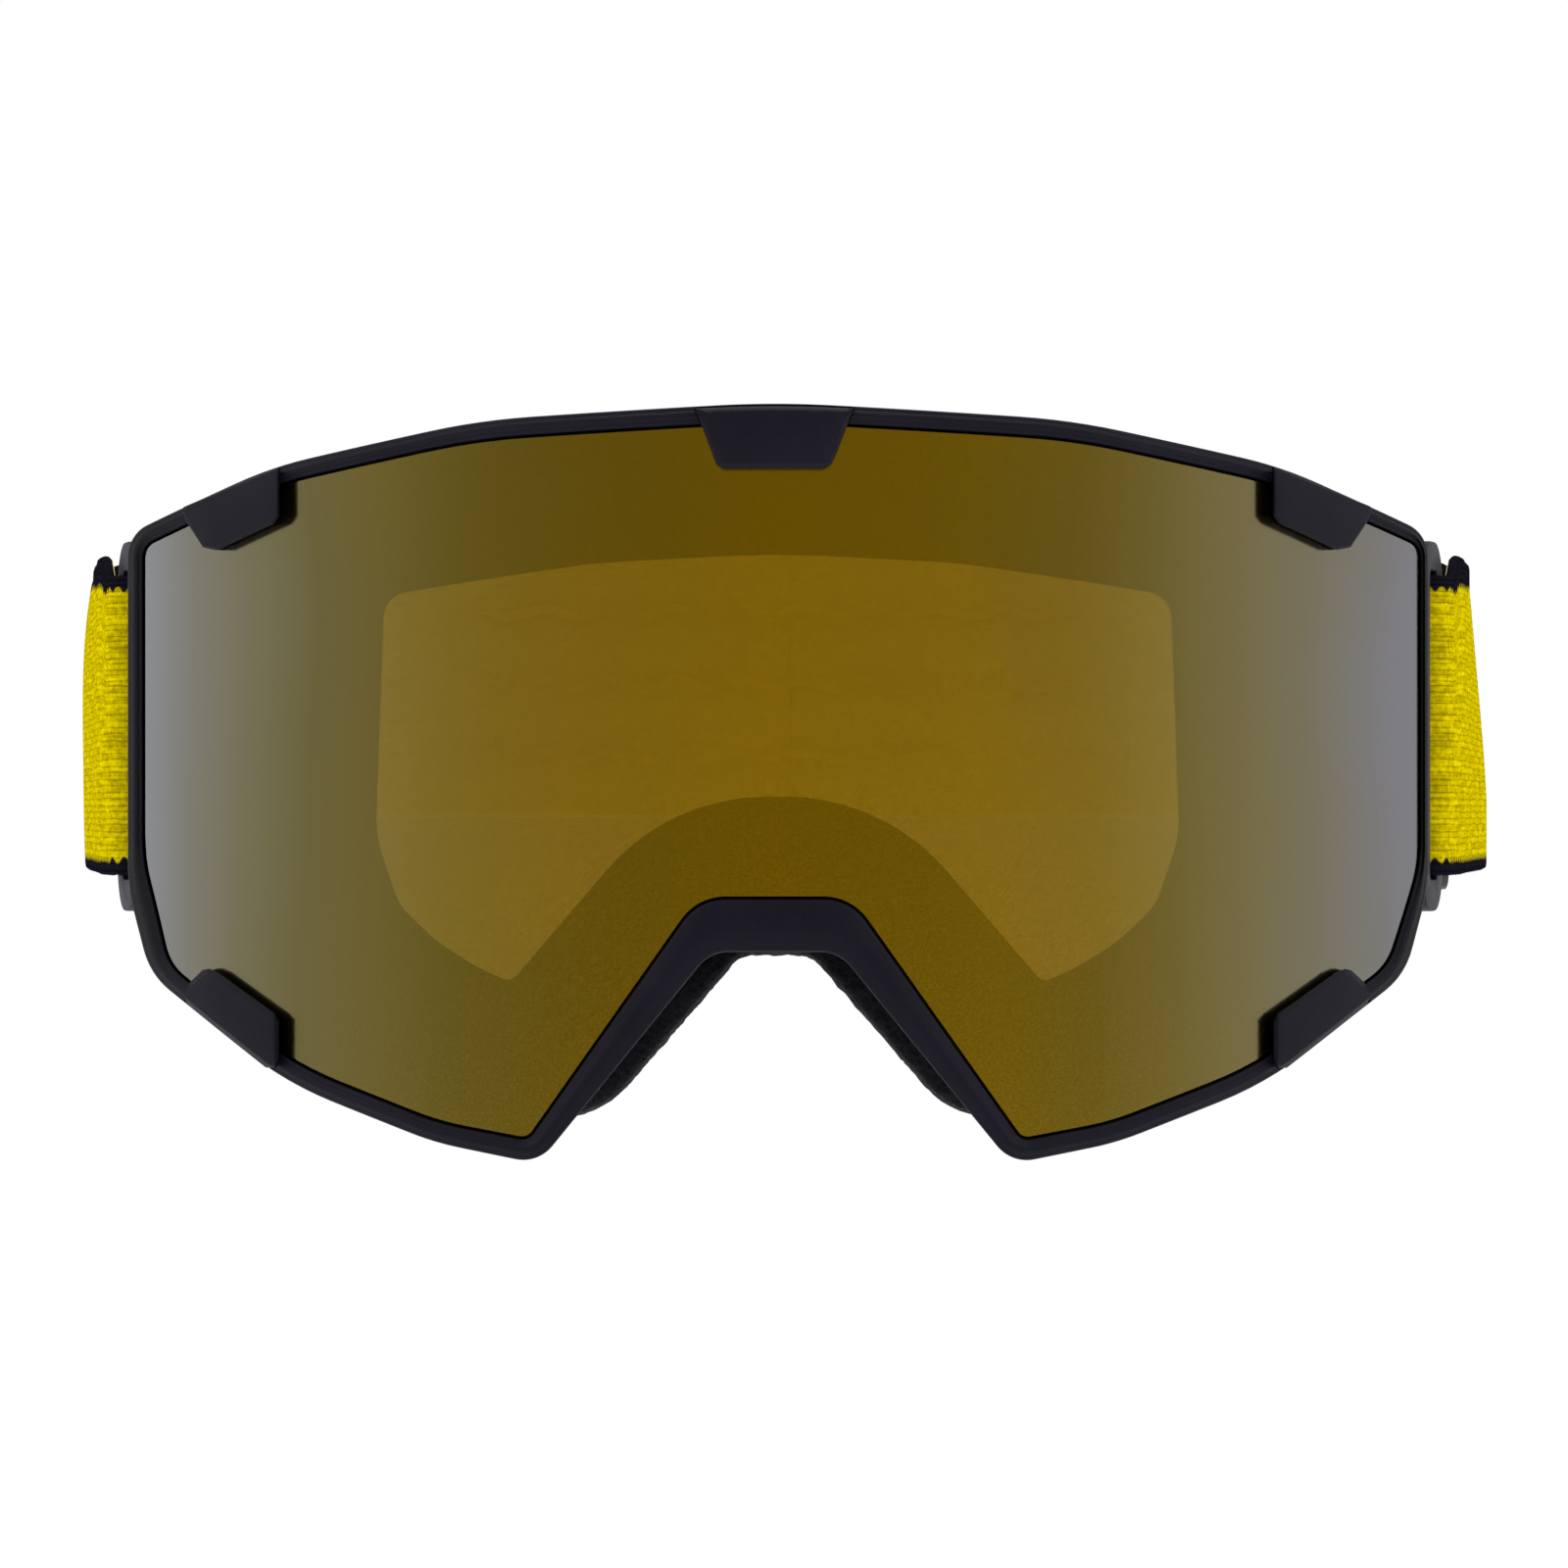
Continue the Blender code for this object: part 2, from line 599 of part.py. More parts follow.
def hinge_lug(side, label):
    """Two ears on a base plate that lies against the side wall of the frame."""
    place = outrigger_place(side)
    wall_start, wall_end = Vector(LUG_WALL[0]), Vector(LUG_WALL[1])
    along = (wall_end - wall_start).normalized()
    normal = Vector((along.y, -along.x))
    (near, far), (low, high) = LUG_SPAN, LUG_BASE
    marks = [(near, low), (far, low), (far, high), (near, high)]
    corners = [wall_start + along * t + normal * d for t, d in marks]
    s, c = math.sin(OUTRIGGER_ANGLE), math.cos(OUTRIGGER_ANGLE)
    base = []
    for p in corners:
        dx, dy = p.x - HINGE_X, p.y - HINGE_Y
        base.append((dx * s + dy * c, dx * c - dy * s))
    ear_start = KNUCKLE_HALF + LUG_GAP
    ear_end = ear_start + LUG_EAR
    lug = prism("hinge_lug_" + label, "frame", base, -ear_end, ear_end, place)
    for sign, name in ((-1.0, "lower"), (1.0, "upper")):
        low, high = sorted((sign * ear_start, sign * ear_end))
        outline = hull(base + circle(KNUCKLE_RADIUS))
        boolean(lug, prism(f"join_ear_{name}_{label}", "frame", outline, low, high, place), "UNION")
    bore = prism("cut_lug_bore_" + label, "frame", circle(PIN_RADIUS + RUN_GAP), -THROUGH, THROUGH, place)
    boolean(lug, bore, "DIFFERENCE")
    reach = ear_end + PIN_END
    prism("hinge_pin_" + label, "steel", circle(PIN_RADIUS, 16), -reach, reach, place)


def strap_loop(side, label):
    """Strap end folded round the rear bar of the outrigger."""
    place = outrigger_place(side)
    near = OUTRIGGER_THICK / 2 + 0.3
    far = near + STRAP_THICK
    front = SLOT_END - 0.3
    back = STRAP_START - LOOP_GAP
    bend = [(front, far), (front - 0.75 * STRAP_THICK, far - 0.5), (front - STRAP_THICK, near)]
    outline = [(back, far), *bend, *[(u, -v) for u, v in bend[::-1]], (back, -far)]
    outline += [(back, -near), (front, -near), (front, near), (back, near)]
    mid = STRAP_Z - HINGE_Z
    top = mid + STRAP_HALF - SLOT_PINCH
    prism("strap_loop_" + label, "strap", outline, mid - STRAP_HALF, top, place)


# ---------------------------------------------------------------- strap
def strap_path():
    """Right-hand half of the strap's middle line: x, y points from arm to back."""
    start = outrigger_place(1.0)(STRAP_START, STRAP_SPREAD, 0.0)
    corners = [(start[0], start[1], 0.0), BULGE, CORNER, (0.0, CORNER[1], 0.0)]
    path = [Vector(corners[0][:2])]
    for i, steps in ((1, 5), (2, 9)):
        before, here, after = (Vector(corners[k][:2]) for k in (i - 1, i, i + 1))
        a, b = (here - before).normalized(), (after - here).normalized()
        turn = a.angle(b)
        radius = corners[i][2]
        begin = here - a * radius * math.tan(turn / 2)
        centre = begin + Vector((-a.y, a.x)) * radius
        if (path[-1] - begin).length > 40.0:
            path.append(path[-1].lerp(begin, 0.5))
        arm = begin - centre
        for step in range(steps + 1):
            angle = turn * step / steps
            c, s = math.cos(angle), math.sin(angle)
            path.append(centre + Vector((arm.x * c - arm.y * s, arm.x * s + arm.y * c)))
    path.append(Vector(corners[3][:2]))
    return path


def straight_stretch():
    """Start point and direction of the straight stretch that an adjuster slides on."""
    bulge, corner = Vector(BULGE[:2]), Vector(CORNER[:2])
    along = (corner - bulge).normalized()
    before = (bulge - Vector(strap_path()[0])).normalized()
    reach = BULGE[2] * math.tan(before.angle(along) / 2)
    return bulge + along * reach, along


def rise(point):
    """How much higher the strap is at a point: it climbs through the rear corner."""
    part = max(0.0, 1.0 - (CORNER[1] - point.y) / RISE_LENGTH)
    return STRAP_RISE * part * part * (3.0 - 2.0 * part)


def ribbon(name, key, path, thick, low, high):
    """Flat band along a path of x, y points; low and high give z at a point."""
    verts = []
    for i, p in enumerate(path):
        before = path[max(i - 1, 0)]
        after = path[min(i + 1, len(path) - 1)]
        along = (after - before).normalized()
        side = Vector((along.y, -along.x)) * (thick / 2)
        out, inn = p + side, p - side
        verts += [(out.x, out.y, low(p)), (out.x, out.y, high(p))]
        verts += [(inn.x, inn.y, high(p)), (inn.x, inn.y, low(p))]
    faces = [(0, 1, 2, 3)]
    for i in range(len(path) - 1):
        a, b = 4 * i, 4 * i + 4
        faces += [(a + k, b + k, b + (k + 1) % 4, a + (k + 1) % 4) for k in range(4)]
    faces.append(tuple(4 * (len(path) - 1) + k for k in (3, 2, 1, 0)))
    return add_solid(name, key, verts, faces)


def strap_band():
    right = strap_path()
    left = [Vector((-p.x, p.y)) for p in right[-2::-1]]
    ribbon("strap_band", "strap", right + left, STRAP_THICK,
           lambda p: STRAP_Z - STRAP_HALF + rise(p), lambda p: STRAP_Z + STRAP_HALF + rise(p))
    inside = CORNER[1] - STRAP_THICK / 2 - GRIP_GAP - GRIP_THICK / 2
    for label, row in (("lower", -1), ("middle", 0), ("upper", 1)):
        path = [Vector((x, inside)) for x in (GRIP_HALF_LENGTH, 0.0, -GRIP_HALF_LENGTH)]
        low = STRAP_Z + STRAP_RISE + row * GRIP_PITCH - GRIP_WIDTH / 2
        ribbon("grip_strip_" + label, "grip", path, GRIP_THICK,
               lambda p, low=low: low, lambda p, low=low: low + GRIP_WIDTH)


def strap_return(side, label):
    """Second ply, from the outrigger back to the adjuster, inside the first."""
    path, walked, out = strap_path(), 0.0, []
    for i, p in enumerate(path[:-1]):
        if i:
            walked += (p - path[i - 1]).length
        before, after = path[max(i - 1, 0)], path[i + 1]
        along = (after - before).normalized()
        blend = min(1.0, walked / PLY_MERGE)
        away = (2 * STRAP_SPREAD) * (1.0 - blend) + (STRAP_THICK + PLY_GAP) * blend
        if walked > RETURN_LENGTH:
            break
        out.append(p + Vector((-along.y, along.x)) * away)
    out = [Vector((side * p.x, p.y)) for p in out]
    ribbon("strap_return_" + label, "strap", out, STRAP_THICK,
           lambda p: STRAP_Z - STRAP_HALF, lambda p: STRAP_Z + STRAP_HALF)


def slider(side, label):
    """Three-bar adjuster round the strap, and the strap tail sewn to its middle bar."""
    start, along = straight_stretch()
    centre = start + along * SLIDER_AT

    def place(w, v, h):
        x = centre.x + along.x * w + along.y * v
        y = centre.y + along.y * w - along.x * v
        return (side * x, y, STRAP_Z + h)

    face = STRAP_THICK / 2 + FACE_GAP
    bar_out = -(face + TAIL_THICK + 0.3)
    bar_in = bar_out - SLIDER_THICK
    rail = STRAP_HALF + SLIDER_SPARE
    tall = rail + RAIL_WIDTH
    top = face + SLIDER_THICK
    end_bar = SLIDER_HALF - 0.3
    sunk = tall - 1.0
    frame = box("slider_" + label, "slider", (-SLIDER_HALF, bar_in, rail), (SLIDER_HALF, top, tall), place)
    parts = [((-end_bar, face, -sunk), (SLIDER_BAR - end_bar, top - 0.3, sunk)),
             ((end_bar - SLIDER_BAR, face, -sunk), (end_bar, top - 0.3, sunk)),
             ((-SLIDER_BAR / 2, bar_in + 0.2, -sunk), (SLIDER_BAR / 2, bar_out, sunk)),
             ((-SLIDER_HALF, bar_in, -tall), (SLIDER_HALF, top, -rail))]
    for index, (low, high) in enumerate(parts):
        boolean(frame, box(f"join_slider_{label}_{index}", "slider", low, high, place), "UNION")
    inside = bar_in - 0.1 - TAIL_THICK
    end = SLIDER_BAR / 2 + 0.3 + TAIL_THICK
    front = -SLIDER_HALF - TAIL_LENGTH
    sewn = -face - 2 * TAIL_THICK
    outline = [(front, -face), (end - 1.0, -face), (end, -face - 1.0), (end, inside + 1.0)]
    outline += [(end - 1.0, inside), (SLIDER_BAR - SLIDER_HALF, inside)]
    outline += [(-SLIDER_HALF - 1.0, sewn), (front, sewn)]
    tail = prism("strap_tail_" + label, "strap", outline, -STRAP_HALF, STRAP_HALF, place)
    hole = box("cut_tail_" + label, "strap", (-SLIDER_BAR / 2 - 0.3, bar_in - 0.1, -THROUGH),
               (SLIDER_BAR / 2 + 0.3, bar_out + 0.3, THROUGH), place)
    boolean(tail, hole, "DIFFERENCE")


def main():
    clear_scene()
    rim = outer_rim()
    frame_body()
    lens_stack()
    clips(rim)
    vents()
    face_foam()
    strap_band()
    for side, label in ((-1.0, "left"), (1.0, "right")):
        outrigger(side, label)
        hinge_lug(side, label)
        strap_loop(side, label)
        strap_return(side, label)
        slider(side, label)


main()
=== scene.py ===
"""Ski goggles: the finished look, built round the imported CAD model.

Lengths are in millimetres in the shape functions and become metres when a mesh is made.
+X is the viewer's right, the lens looks along -Y, +Z is up.
"""

from math import asin, ceil, copysign, cos, exp, hypot, pi, radians, sin, sqrt, tan

import bmesh
import bpy
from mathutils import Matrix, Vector, geometry, noise


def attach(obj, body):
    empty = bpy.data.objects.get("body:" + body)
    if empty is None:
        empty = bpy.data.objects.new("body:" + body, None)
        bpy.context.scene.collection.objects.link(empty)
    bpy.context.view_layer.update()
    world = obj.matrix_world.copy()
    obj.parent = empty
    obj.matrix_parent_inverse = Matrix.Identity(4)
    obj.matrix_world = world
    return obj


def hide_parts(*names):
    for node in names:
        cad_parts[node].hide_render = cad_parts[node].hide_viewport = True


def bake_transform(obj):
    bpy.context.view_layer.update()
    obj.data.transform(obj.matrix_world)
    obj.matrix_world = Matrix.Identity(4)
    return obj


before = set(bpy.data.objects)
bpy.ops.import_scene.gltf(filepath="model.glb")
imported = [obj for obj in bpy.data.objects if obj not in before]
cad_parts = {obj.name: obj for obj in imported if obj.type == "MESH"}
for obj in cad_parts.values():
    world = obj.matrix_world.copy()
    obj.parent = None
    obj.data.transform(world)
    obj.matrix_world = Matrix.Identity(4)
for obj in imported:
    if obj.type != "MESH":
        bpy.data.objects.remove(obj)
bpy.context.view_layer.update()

MM = 0.001
SIDES = ((-1, "left"), (1, "right"))

# ---- dimensions, as the CAD has them where it has them
LENS_RADIUS, LENS_FRONT, LENS_THICK, LENS_INSET = 110, -45, 2, 0.4
GAP, GASKET_THICK, INNER_LENS_THICK = 0.35, 3.4, 1
GASKET_INSET, GASKET_REACH = 1.2, 5
FACE_RADIUS, NOSE_RELIEF, NOSE_SPREAD, NOSE_DROP = 95, 10, 20, 26

# outlines of the right half: x, z, corner radius, from the top middle to the nose arch
FRONT = [
    (0, 48.5, 150), (38, 46.6, 100), (66, 41.4, 60), (87.2, 33.4, 4.5),
    (87.2, -14, 25), (83.8, -25.5, 10), (64, -39.3, 50), (44, -46.5, 40),
    (30.4, -49, 5), (8.2, -21.7, 5),
]
RIM_WIDTH = [2.3, 2.2, 2.1, 1.9, 2.9, 2.5, 2.5, 2.5, 3.5, 6.7]
NOSE_LENS = [(29.4, -49, 5), (10.1, -21.7, 1.5)]    # nose corners towards the lens
LENS_SHIFT = (0.4, 0.8)         # the lens sits a little off the middle of the rim, at its two sides
SHIFT_FROM, SHIFT_DOWN = (66, 84), (-32, -12)   # where, by x and z, it begins and where it is whole
SEAT_OUTER = [
    (0, 44.8, 150), (30, 43.4, 100), (56, 39, 60), (71, 33.5, 9),
    (71.3, -10, 25), (67, -21, 12), (52, -34, 50), (38, -42, 40),
    (24.8, -46, 12), (4.6, -22.6, 4),
]
SEAT_INNER = [
    (0, 30.1, 150), (24, 29, 100), (42, 26.6, 60), (52.6, 25.1, 3.5),
    (53.8, -7, 15), (50.6, -16.2, 8), (45.2, -21.2, 20), (39.8, -24.4, 20),
    (35.2, -26.4, 1.6), (14, -1.8, 28),
]
ARC_STEPS = [12, 6, 6, 12, 8, 8, 6, 6, 10, 12]
EDGE_STEPS = [30, 24, 20, 40, 10, 20, 18, 10, 30, 14]
LEAST_RADIUS = 0.6

RIM_DEPTH, RIM_PROUD, RIM_CROWN, RIM_ROUND = 3, 0.6, 1.1, 0.5
WALL_INSET, LEDGE_WIDTH, LEDGE_THICK, FLANGE_THICK = 0.5, 4, 1.8, 1.8
LEDGE_DEPTH = LENS_THICK + GASKET_THICK + INNER_LENS_THICK + 3 * GAP
FLANGE_INSET, FLANGE_WALL, FLANGE_NOSE = 1, 3.4, 3
FOAM_LAYERS = [("foam_base", 8), ("foam_middle", 8), ("foam_fleece", 2.4)]
FOAM_SETBACK, FOAM_NOSE = 2.5, 5
FOAM_DEPTH = sum(thick for _, thick in FOAM_LAYERS) + (len(FOAM_LAYERS) - 1) * GAP
SEAT_DEPTH = FOAM_DEPTH + 0.5

CLIP_HEIGHT, CLIP_BACK, CLIP_BEVEL = 2.7, 0.3, 0.8
CLIP_TOP = (
    [(-10.1, 47.6), (-7, 47.72), (-3.5, 47.82), (0, 47.85), (3.5, 47.82), (7, 47.72), (10.1, 47.6)],
    [(-10.1, 47.6), (-7.2, 39.9), (7.2, 39.9), (10.1, 47.6)],
)
CLIP_UPPER = (
    [(65, 41.2), (78.7, 36.5)],
    [(65, 34.9), (65.8, 33.9), (73.8, 30.7), (75.7, 31.1), (77.9, 34.3), (78.7, 35.9)],
)
CLIP_LOWER = (
    [(65, -31.2), (65.6, -30.2), (73.6, -25), (74.9, -24.5), (75.8, -24.7), (77.7, -26.4),
     (78.5, -28.2)],
    [(65, -36.8), (66.2, -37.7), (78.5, -29)],
)

TOP_VENTS, LOW_VENTS = [-52, -26, 0, 26, 52], [42, 58]
VENT_WIDTH, LOW_VENT_WIDTH, VENT_LENGTH, VENT_ROUND = 18, 11, 6, 2.2
TOP_CUT, LOW_CUT = (28, 60), (-60, -30.5)   # heights that the vents' cutters span
VENT_FOAM, VENT_FOAM_GAP, VENT_FOAM_START, VENT_FOAM_END = 2.2, 0.65, 0.12, 0.88
TOP_FOAM_Z, LOW_FOAM_Z, LOW_FOAM_X = 36, -28, (34, 78)

HINGE_X, HINGE_Y, HINGE_Z = 85, 9.5, 8
OUTRIGGER_ANGLE = radians(14)
OUTRIGGER_THICK, OUTRIGGER_HALF, OUTRIGGER_LENGTH, OUTRIGGER_CORNER = 3, 25.5, 24.5, 7
NECK_LENGTH, KNUCKLE_RADIUS, KNUCKLE_HALF, KNUCKLE_EXTRA = 7, 3.2, 11.5, 0.4
LUG_GAP, LUG_EAR, PIN_RADIUS, PIN_BORE, PIN_END, BORE_REACH = 0.4, 6, 1.2, 1.3, 0.8, 40
LUG_WALL, LUG_SPAN, LUG_BASE = [(86.7, 0.7), (70.2, 11.6)], (2.5, 14), (0.6, 2.4)
SLOT_START, SLOT_END, SLOT_SPARE, SLOT_PINCH = 13, 19, 0.6, 3

STRAP_Z, STRAP_HALF, STRAP_THICK, STRAP_RISE, RISE_LENGTH = 9.7, 22.2, 1.6, 8, 28
STRAP_EDGE, STRAP_ROWS, FLUTTER, SCALLOP, PATH_PITCH = 0.8, 44, 0.22, 0.12, 1.5
# where, by y, the sides start to lean and stop, and where, by x, the weave starts to flutter
LEAN_START, LEAN_END, FLUTTER_START = (60, 105), (158, 140), (2, 20)
REAR_START = 120    # from here backwards the inner face is all lining
NO_TURN = -1000     # a place far before the start of a strap that passes no slot
STRAP_START, STRAP_SPREAD, PLY_GAP, PLY_MERGE = 31, 2.6, 0.5, 40
BULGE, CORNER = (107.5, 136, 70), (88, 228, 36)
INNER_PLY_END = 75  # where the inner ply hands over to the adjuster's tail
GRIP_HALF_LENGTH, GRIP_WIDTH, GRIP_THICK, GRIP_GAP, GRIP_PITCH = 55, 3.2, 0.9, 0.4, 12

SLIDER_AT, SLIDER_HALF, SLIDER_BAR, SLIDER_THICK = 22, 7, 3, 2
SLIDER_SPARE, RAIL_WIDTH, FACE_GAP, BAR_GAP, TAIL_THICK, TAIL_LENGTH = 0.6, 3, 0.4, 0.3, 1.4, 8
POST_HALF, STITCHED = 4.2, (-11, -13.4)


# ---- mesh helpers
def add_piece(name, verts, faces, sharp=32):
    bm = bmesh.new()
    made = [bm.verts.new(Vector(v) * MM) for v in verts]
    for face in faces:
        bm.faces.new([made[i] for i in face])
    bmesh.ops.recalc_face_normals(bm, faces=bm.faces)
    mesh = bpy.data.meshes.new(name)
    bm.to_mesh(mesh)
    bm.free()
    obj = bpy.data.objects.new(name, mesh)
    bpy.context.scene.collection.objects.link(obj)
    shade(obj, sharp)
    return obj


def tube_faces(ring, rows, start=0):
    """Faces of a capped tube whose points come row by row, with ring points in a row."""
    faces = [tuple(range(start, start + ring))]
    for row in range(rows - 1):
        a, b = start + ring * row, start + ring * (row + 1)
        faces += [(a + k, b + k, b + (k + 1) % ring, a + (k + 1) % ring) for k in range(ring)]
    last = start + ring * (rows - 1)
    return faces + [tuple(range(last, last + ring))[::-1]]


def shade(obj, sharp):
    obj.data.shade_smooth()
    obj.data.set_sharp_from_angle(angle=radians(sharp))


def settle(obj, sharp=32):
    """Put what the modifiers make into the mesh itself."""
    bpy.context.view_layer.update()
    graph = bpy.context.evaluated_depsgraph_get()
    mesh = bpy.data.meshes.new_from_object(obj.evaluated_get(graph), depsgraph=graph)
    obj.modifiers.clear()
    obj.data = mesh
    shade(obj, sharp)


def join_or_cut(obj, others, operation):
    """Boolean with each of the other shapes, which are then removed."""
    for other in others:
        mod = obj.modifiers.new("shape", "BOOLEAN")
        mod.operation = operation
        mod.solver = "EXACT"
        mod.object = other
    settle(obj)
    for other in others:
        bpy.data.objects.remove(other, do_unlink=True)


def clean(obj, angle=2):
    """Weld stray points and dissolve the needless edges that a boolean leaves."""
    bm = bmesh.new()
    bm.from_mesh(obj.data)
    bmesh.ops.remove_doubles(bm, verts=bm.verts, dist=0.00001)
    bmesh.ops.dissolve_limit(bm, angle_limit=radians(angle), verts=bm.verts, edges=bm.edges)
    bm.to_mesh(obj.data)
    bm.free()


def bevel(obj, width, segments=3, angle=40, sharp=40):
    """Round the edges of a piece by width millimetres."""
    mod = obj.modifiers.new("round", "BEVEL")
    mod.width = width * MM
    mod.segments = segments
    mod.limit_method = "ANGLE"
    mod.angle_limit = radians(angle)
    settle(obj, sharp)


def hand_over(piece, material, body, slot, *nodes):
    """Give a piece its material, put it on the body that carries it, and hide the CAD nodes it stands for."""
    piece.data.materials.append(MATERIALS[material])
    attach(piece, body)
    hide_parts(*nodes)


def prism(name, outline, low, high, place):
    """Extrude a flat outline from low to high; place maps (a, b, h) to x, y, z."""
    count = len(outline)
    verts = [place(a, b, low) for a, b in outline] + [place(a, b, high) for a, b in outline]
    faces = [tuple(range(count))[::-1], tuple(range(count, 2 * count))]
    faces += [(i, (i + 1) % count, count + (i + 1) % count, count + i) for i in range(count)]
    return add_piece(name, verts, faces)


def smooth(value, start, end):
    """Ease from 0 at start to 1 at end."""
    part = min(1, max(0, (value - start) / (end - start)))
    return part * part * (3 - 2 * part)


def circle(radius, steps=32):
    return [(radius * cos(2 * pi * i / steps), radius * sin(2 * pi * i / steps)) for i in range(steps)]


def rounded_rectangle(low, high, radius, steps=8):
    points = []
    centres = [(high[0] - radius, high[1] - radius, 0), (low[0] + radius, high[1] - radius, 1),
               (low[0] + radius, low[1] + radius, 2), (high[0] - radius, low[1] + radius, 3)]
    for cx, cy, quarter in centres:
        for step in range(steps + 1):
            angle = pi / 2 * (quarter + step / steps)
            points.append((cx + radius * cos(angle), cy + radius * sin(angle)))
    return points


def roughen(obj, height, size, seed=0):
    """Push every point along its normal by smooth noise of that height and size."""
    offset = Vector((seed, 2.3 * seed, 5.1 * seed))

    def push(vertex):
        point = vertex.co / (size * MM) + offset
        amount = noise.noise(point) + 0.5 * noise.noise(2.1 * point)
        return vertex.co + vertex.normal * amount * height * MM

    moved = [push(vertex) for vertex in obj.data.vertices]
    for vertex, place in zip(obj.data.vertices, moved):
        vertex.co = place
    obj.data.update()


# ---- outlines
def face_y(x, z):
    curve = FACE_RADIUS - sqrt(FACE_RADIUS ** 2 - x ** 2)
    low = min(1, max(0, -z / NOSE_DROP))
    return curve - NOSE_RELIEF * exp(-(x / NOSE_SPREAD) ** 2) * low


def lens_y(x):
    return LENS_FRONT + LENS_RADIUS - sqrt(LENS_RADIUS ** 2 - x ** 2)


def inset_corners(corners, insets):
    """Mirror the right half, and move every edge of the closed outline inwards by its own inset."""
    ring = corners + [(-x, z, radius) for x, z, radius in corners[:0:-1]]
    moves = insets + insets[-2::-1]
    total = len(ring)
    lines = []
    for i in range(total):
        ax, az, _ = ring[i]
        bx, bz, _ = ring[(i + 1) % total]
        length = hypot(bx - ax, bz - az)
        dx, dz = (bx - ax) / length, (bz - az) / length
        lines.append((ax + dz * moves[i], az - dx * moves[i], dx, dz, moves[i]))
    result = []
    for i in range(total):
        ax, az, adx, adz, am = lines[i - 1]
        bx, bz, bdx, bdz, bm = lines[i]
        cross = adx * bdz - adz * bdx
        step = ((bx - ax) * bdz - (bz - az) * bdx) / cross
        turn = 0.5 * (am + bm) * (1 if cross < 0 else -1)
        result.append((ax + adx * step, az + adz * step, max(LEAST_RADIUS, ring[i][2] - turn)))
    return result


def corner_arc(before, here, after, radius, steps=0):
    """Points of the arc that rounds off the corner here, by default about PATH_PITCH apart."""
    along = (here - before).normalized()
    turn = along.angle_signed((after - here).normalized())
    steps = steps or max(2, ceil(abs(turn) * radius / PATH_PITCH), ceil(abs(turn) / radians(15)))
    start = here - along * (radius * tan(abs(turn) / 2))
    centre = start + Vector((along.y, -along.x)) * copysign(1, turn) * radius
    arm = start - centre
    angles = [-turn * step / steps for step in range(1, steps + 1)]
    return [start] + [centre + Vector((arm.x * cos(a) - arm.y * sin(a),
                                       arm.x * sin(a) + arm.y * cos(a))) for a in angles]


def rounded_loop(corners, insets):
    """Closed outline with rounded corners, always the same number of points."""
    ring = inset_corners(corners, insets)
    points = [Vector(corner[:2]) for corner in ring]
    total = len(ring)
    steps, edges = ARC_STEPS + ARC_STEPS[:0:-1], EDGE_STEPS + EDGE_STEPS[-2::-1]
    arcs = [corner_arc(points[i - 1], points[i], points[(i + 1) % total], ring[i][2], steps[i])
            for i in range(total)]
    loop = []
    for i in range(total):
        start, end = arcs[i][-1], arcs[(i + 1) % total][0]
        loop += arcs[i] + [start.lerp(end, step / edges[i]) for step in range(1, edges[i])]
    return loop


def rim_inner(extra=0):
    loop = rounded_loop(FRONT[:8] + NOSE_LENS, [width + extra for width in RIM_WIDTH])
    for p in loop:
        right, left = smooth(p.x, *SHIFT_FROM), smooth(-p.x, *SHIFT_FROM)
        p.x += smooth(p.y, *SHIFT_DOWN) * (LENS_SHIFT[1] * right + LENS_SHIFT[0] * left)
    return loop


def rim_outer(inset=0):
    return rounded_loop(FRONT, [inset] * len(FRONT))


def seat_outer(inset=0, nose=0):
    return rounded_loop(SEAT_OUTER, [inset] * 8 + [inset + nose, inset])


def seat_inner(spread=0, nose=0):
    return rounded_loop(SEAT_INNER, [-spread] * 8 + [-spread - nose, -spread - nose])


def on_lens(loop, depth):
    return [Vector((p.x, lens_y(p.x) + depth, p.y)) for p in loop]


def on_face(loop, depth):
    return [Vector((p.x, face_y(p.x, p.y) - depth, p.y)) for p in loop]


def between(loop, other, part):
    return [a.lerp(b, part) for a, b in zip(loop, other)]


def ring_piece(name, loops, sharp=32):
    """Closed ring whose section runs through the given loops in order."""
    count, rows = len(loops[0]), len(loops)
    faces = []
    for row in range(rows):
        a, b = row * count, (row + 1) % rows * count
        faces += [(a + i, a + (i + 1) % count, b + (i + 1) % count, b + i) for i in range(count)]
    return add_piece(name, [p for loop in loops for p in loop], faces, sharp)


def chain_z(chain, x):
    """Height of an x-sorted chain of points at x."""
    if x <= chain[0][0]:
        return chain[0][1]
    for (ax, az), (bx, bz) in zip(chain, chain[1:]):
        if x <= bx:
            return az + (bz - az) * (x - ax) / (bx - ax) if bx > ax else bz
    return chain[-1][1]


def curved_slab(name, top, bottom, front, back, widest=1.5, least=0.3, rows=1):
    """Plate that follows the lens cylinder between two x-sorted edge chains."""
    marks = sorted({round(p[0], 4) for p in top + bottom})
    xs = marks[:1]
    for mark in marks[1:]:
        start = xs[-1]
        if mark - start < least and mark != marks[-1]:
            continue
        steps = max(1, ceil((mark - start) / widest))
        xs += [start + (mark - start) * s / steps for s in range(1, steps + 1)]
    verts = []
    for x in xs:
        high, low = chain_z(top, x), chain_z(bottom, x)
        heights = [high + (low - high) * r / rows for r in range(rows + 1)]
        verts += [(x, lens_y(x) + front, z) for z in heights]
        verts += [(x, lens_y(x) + back, z) for z in heights[::-1]]
    return add_piece(name, verts, tube_faces(2 * (rows + 1), len(xs)))


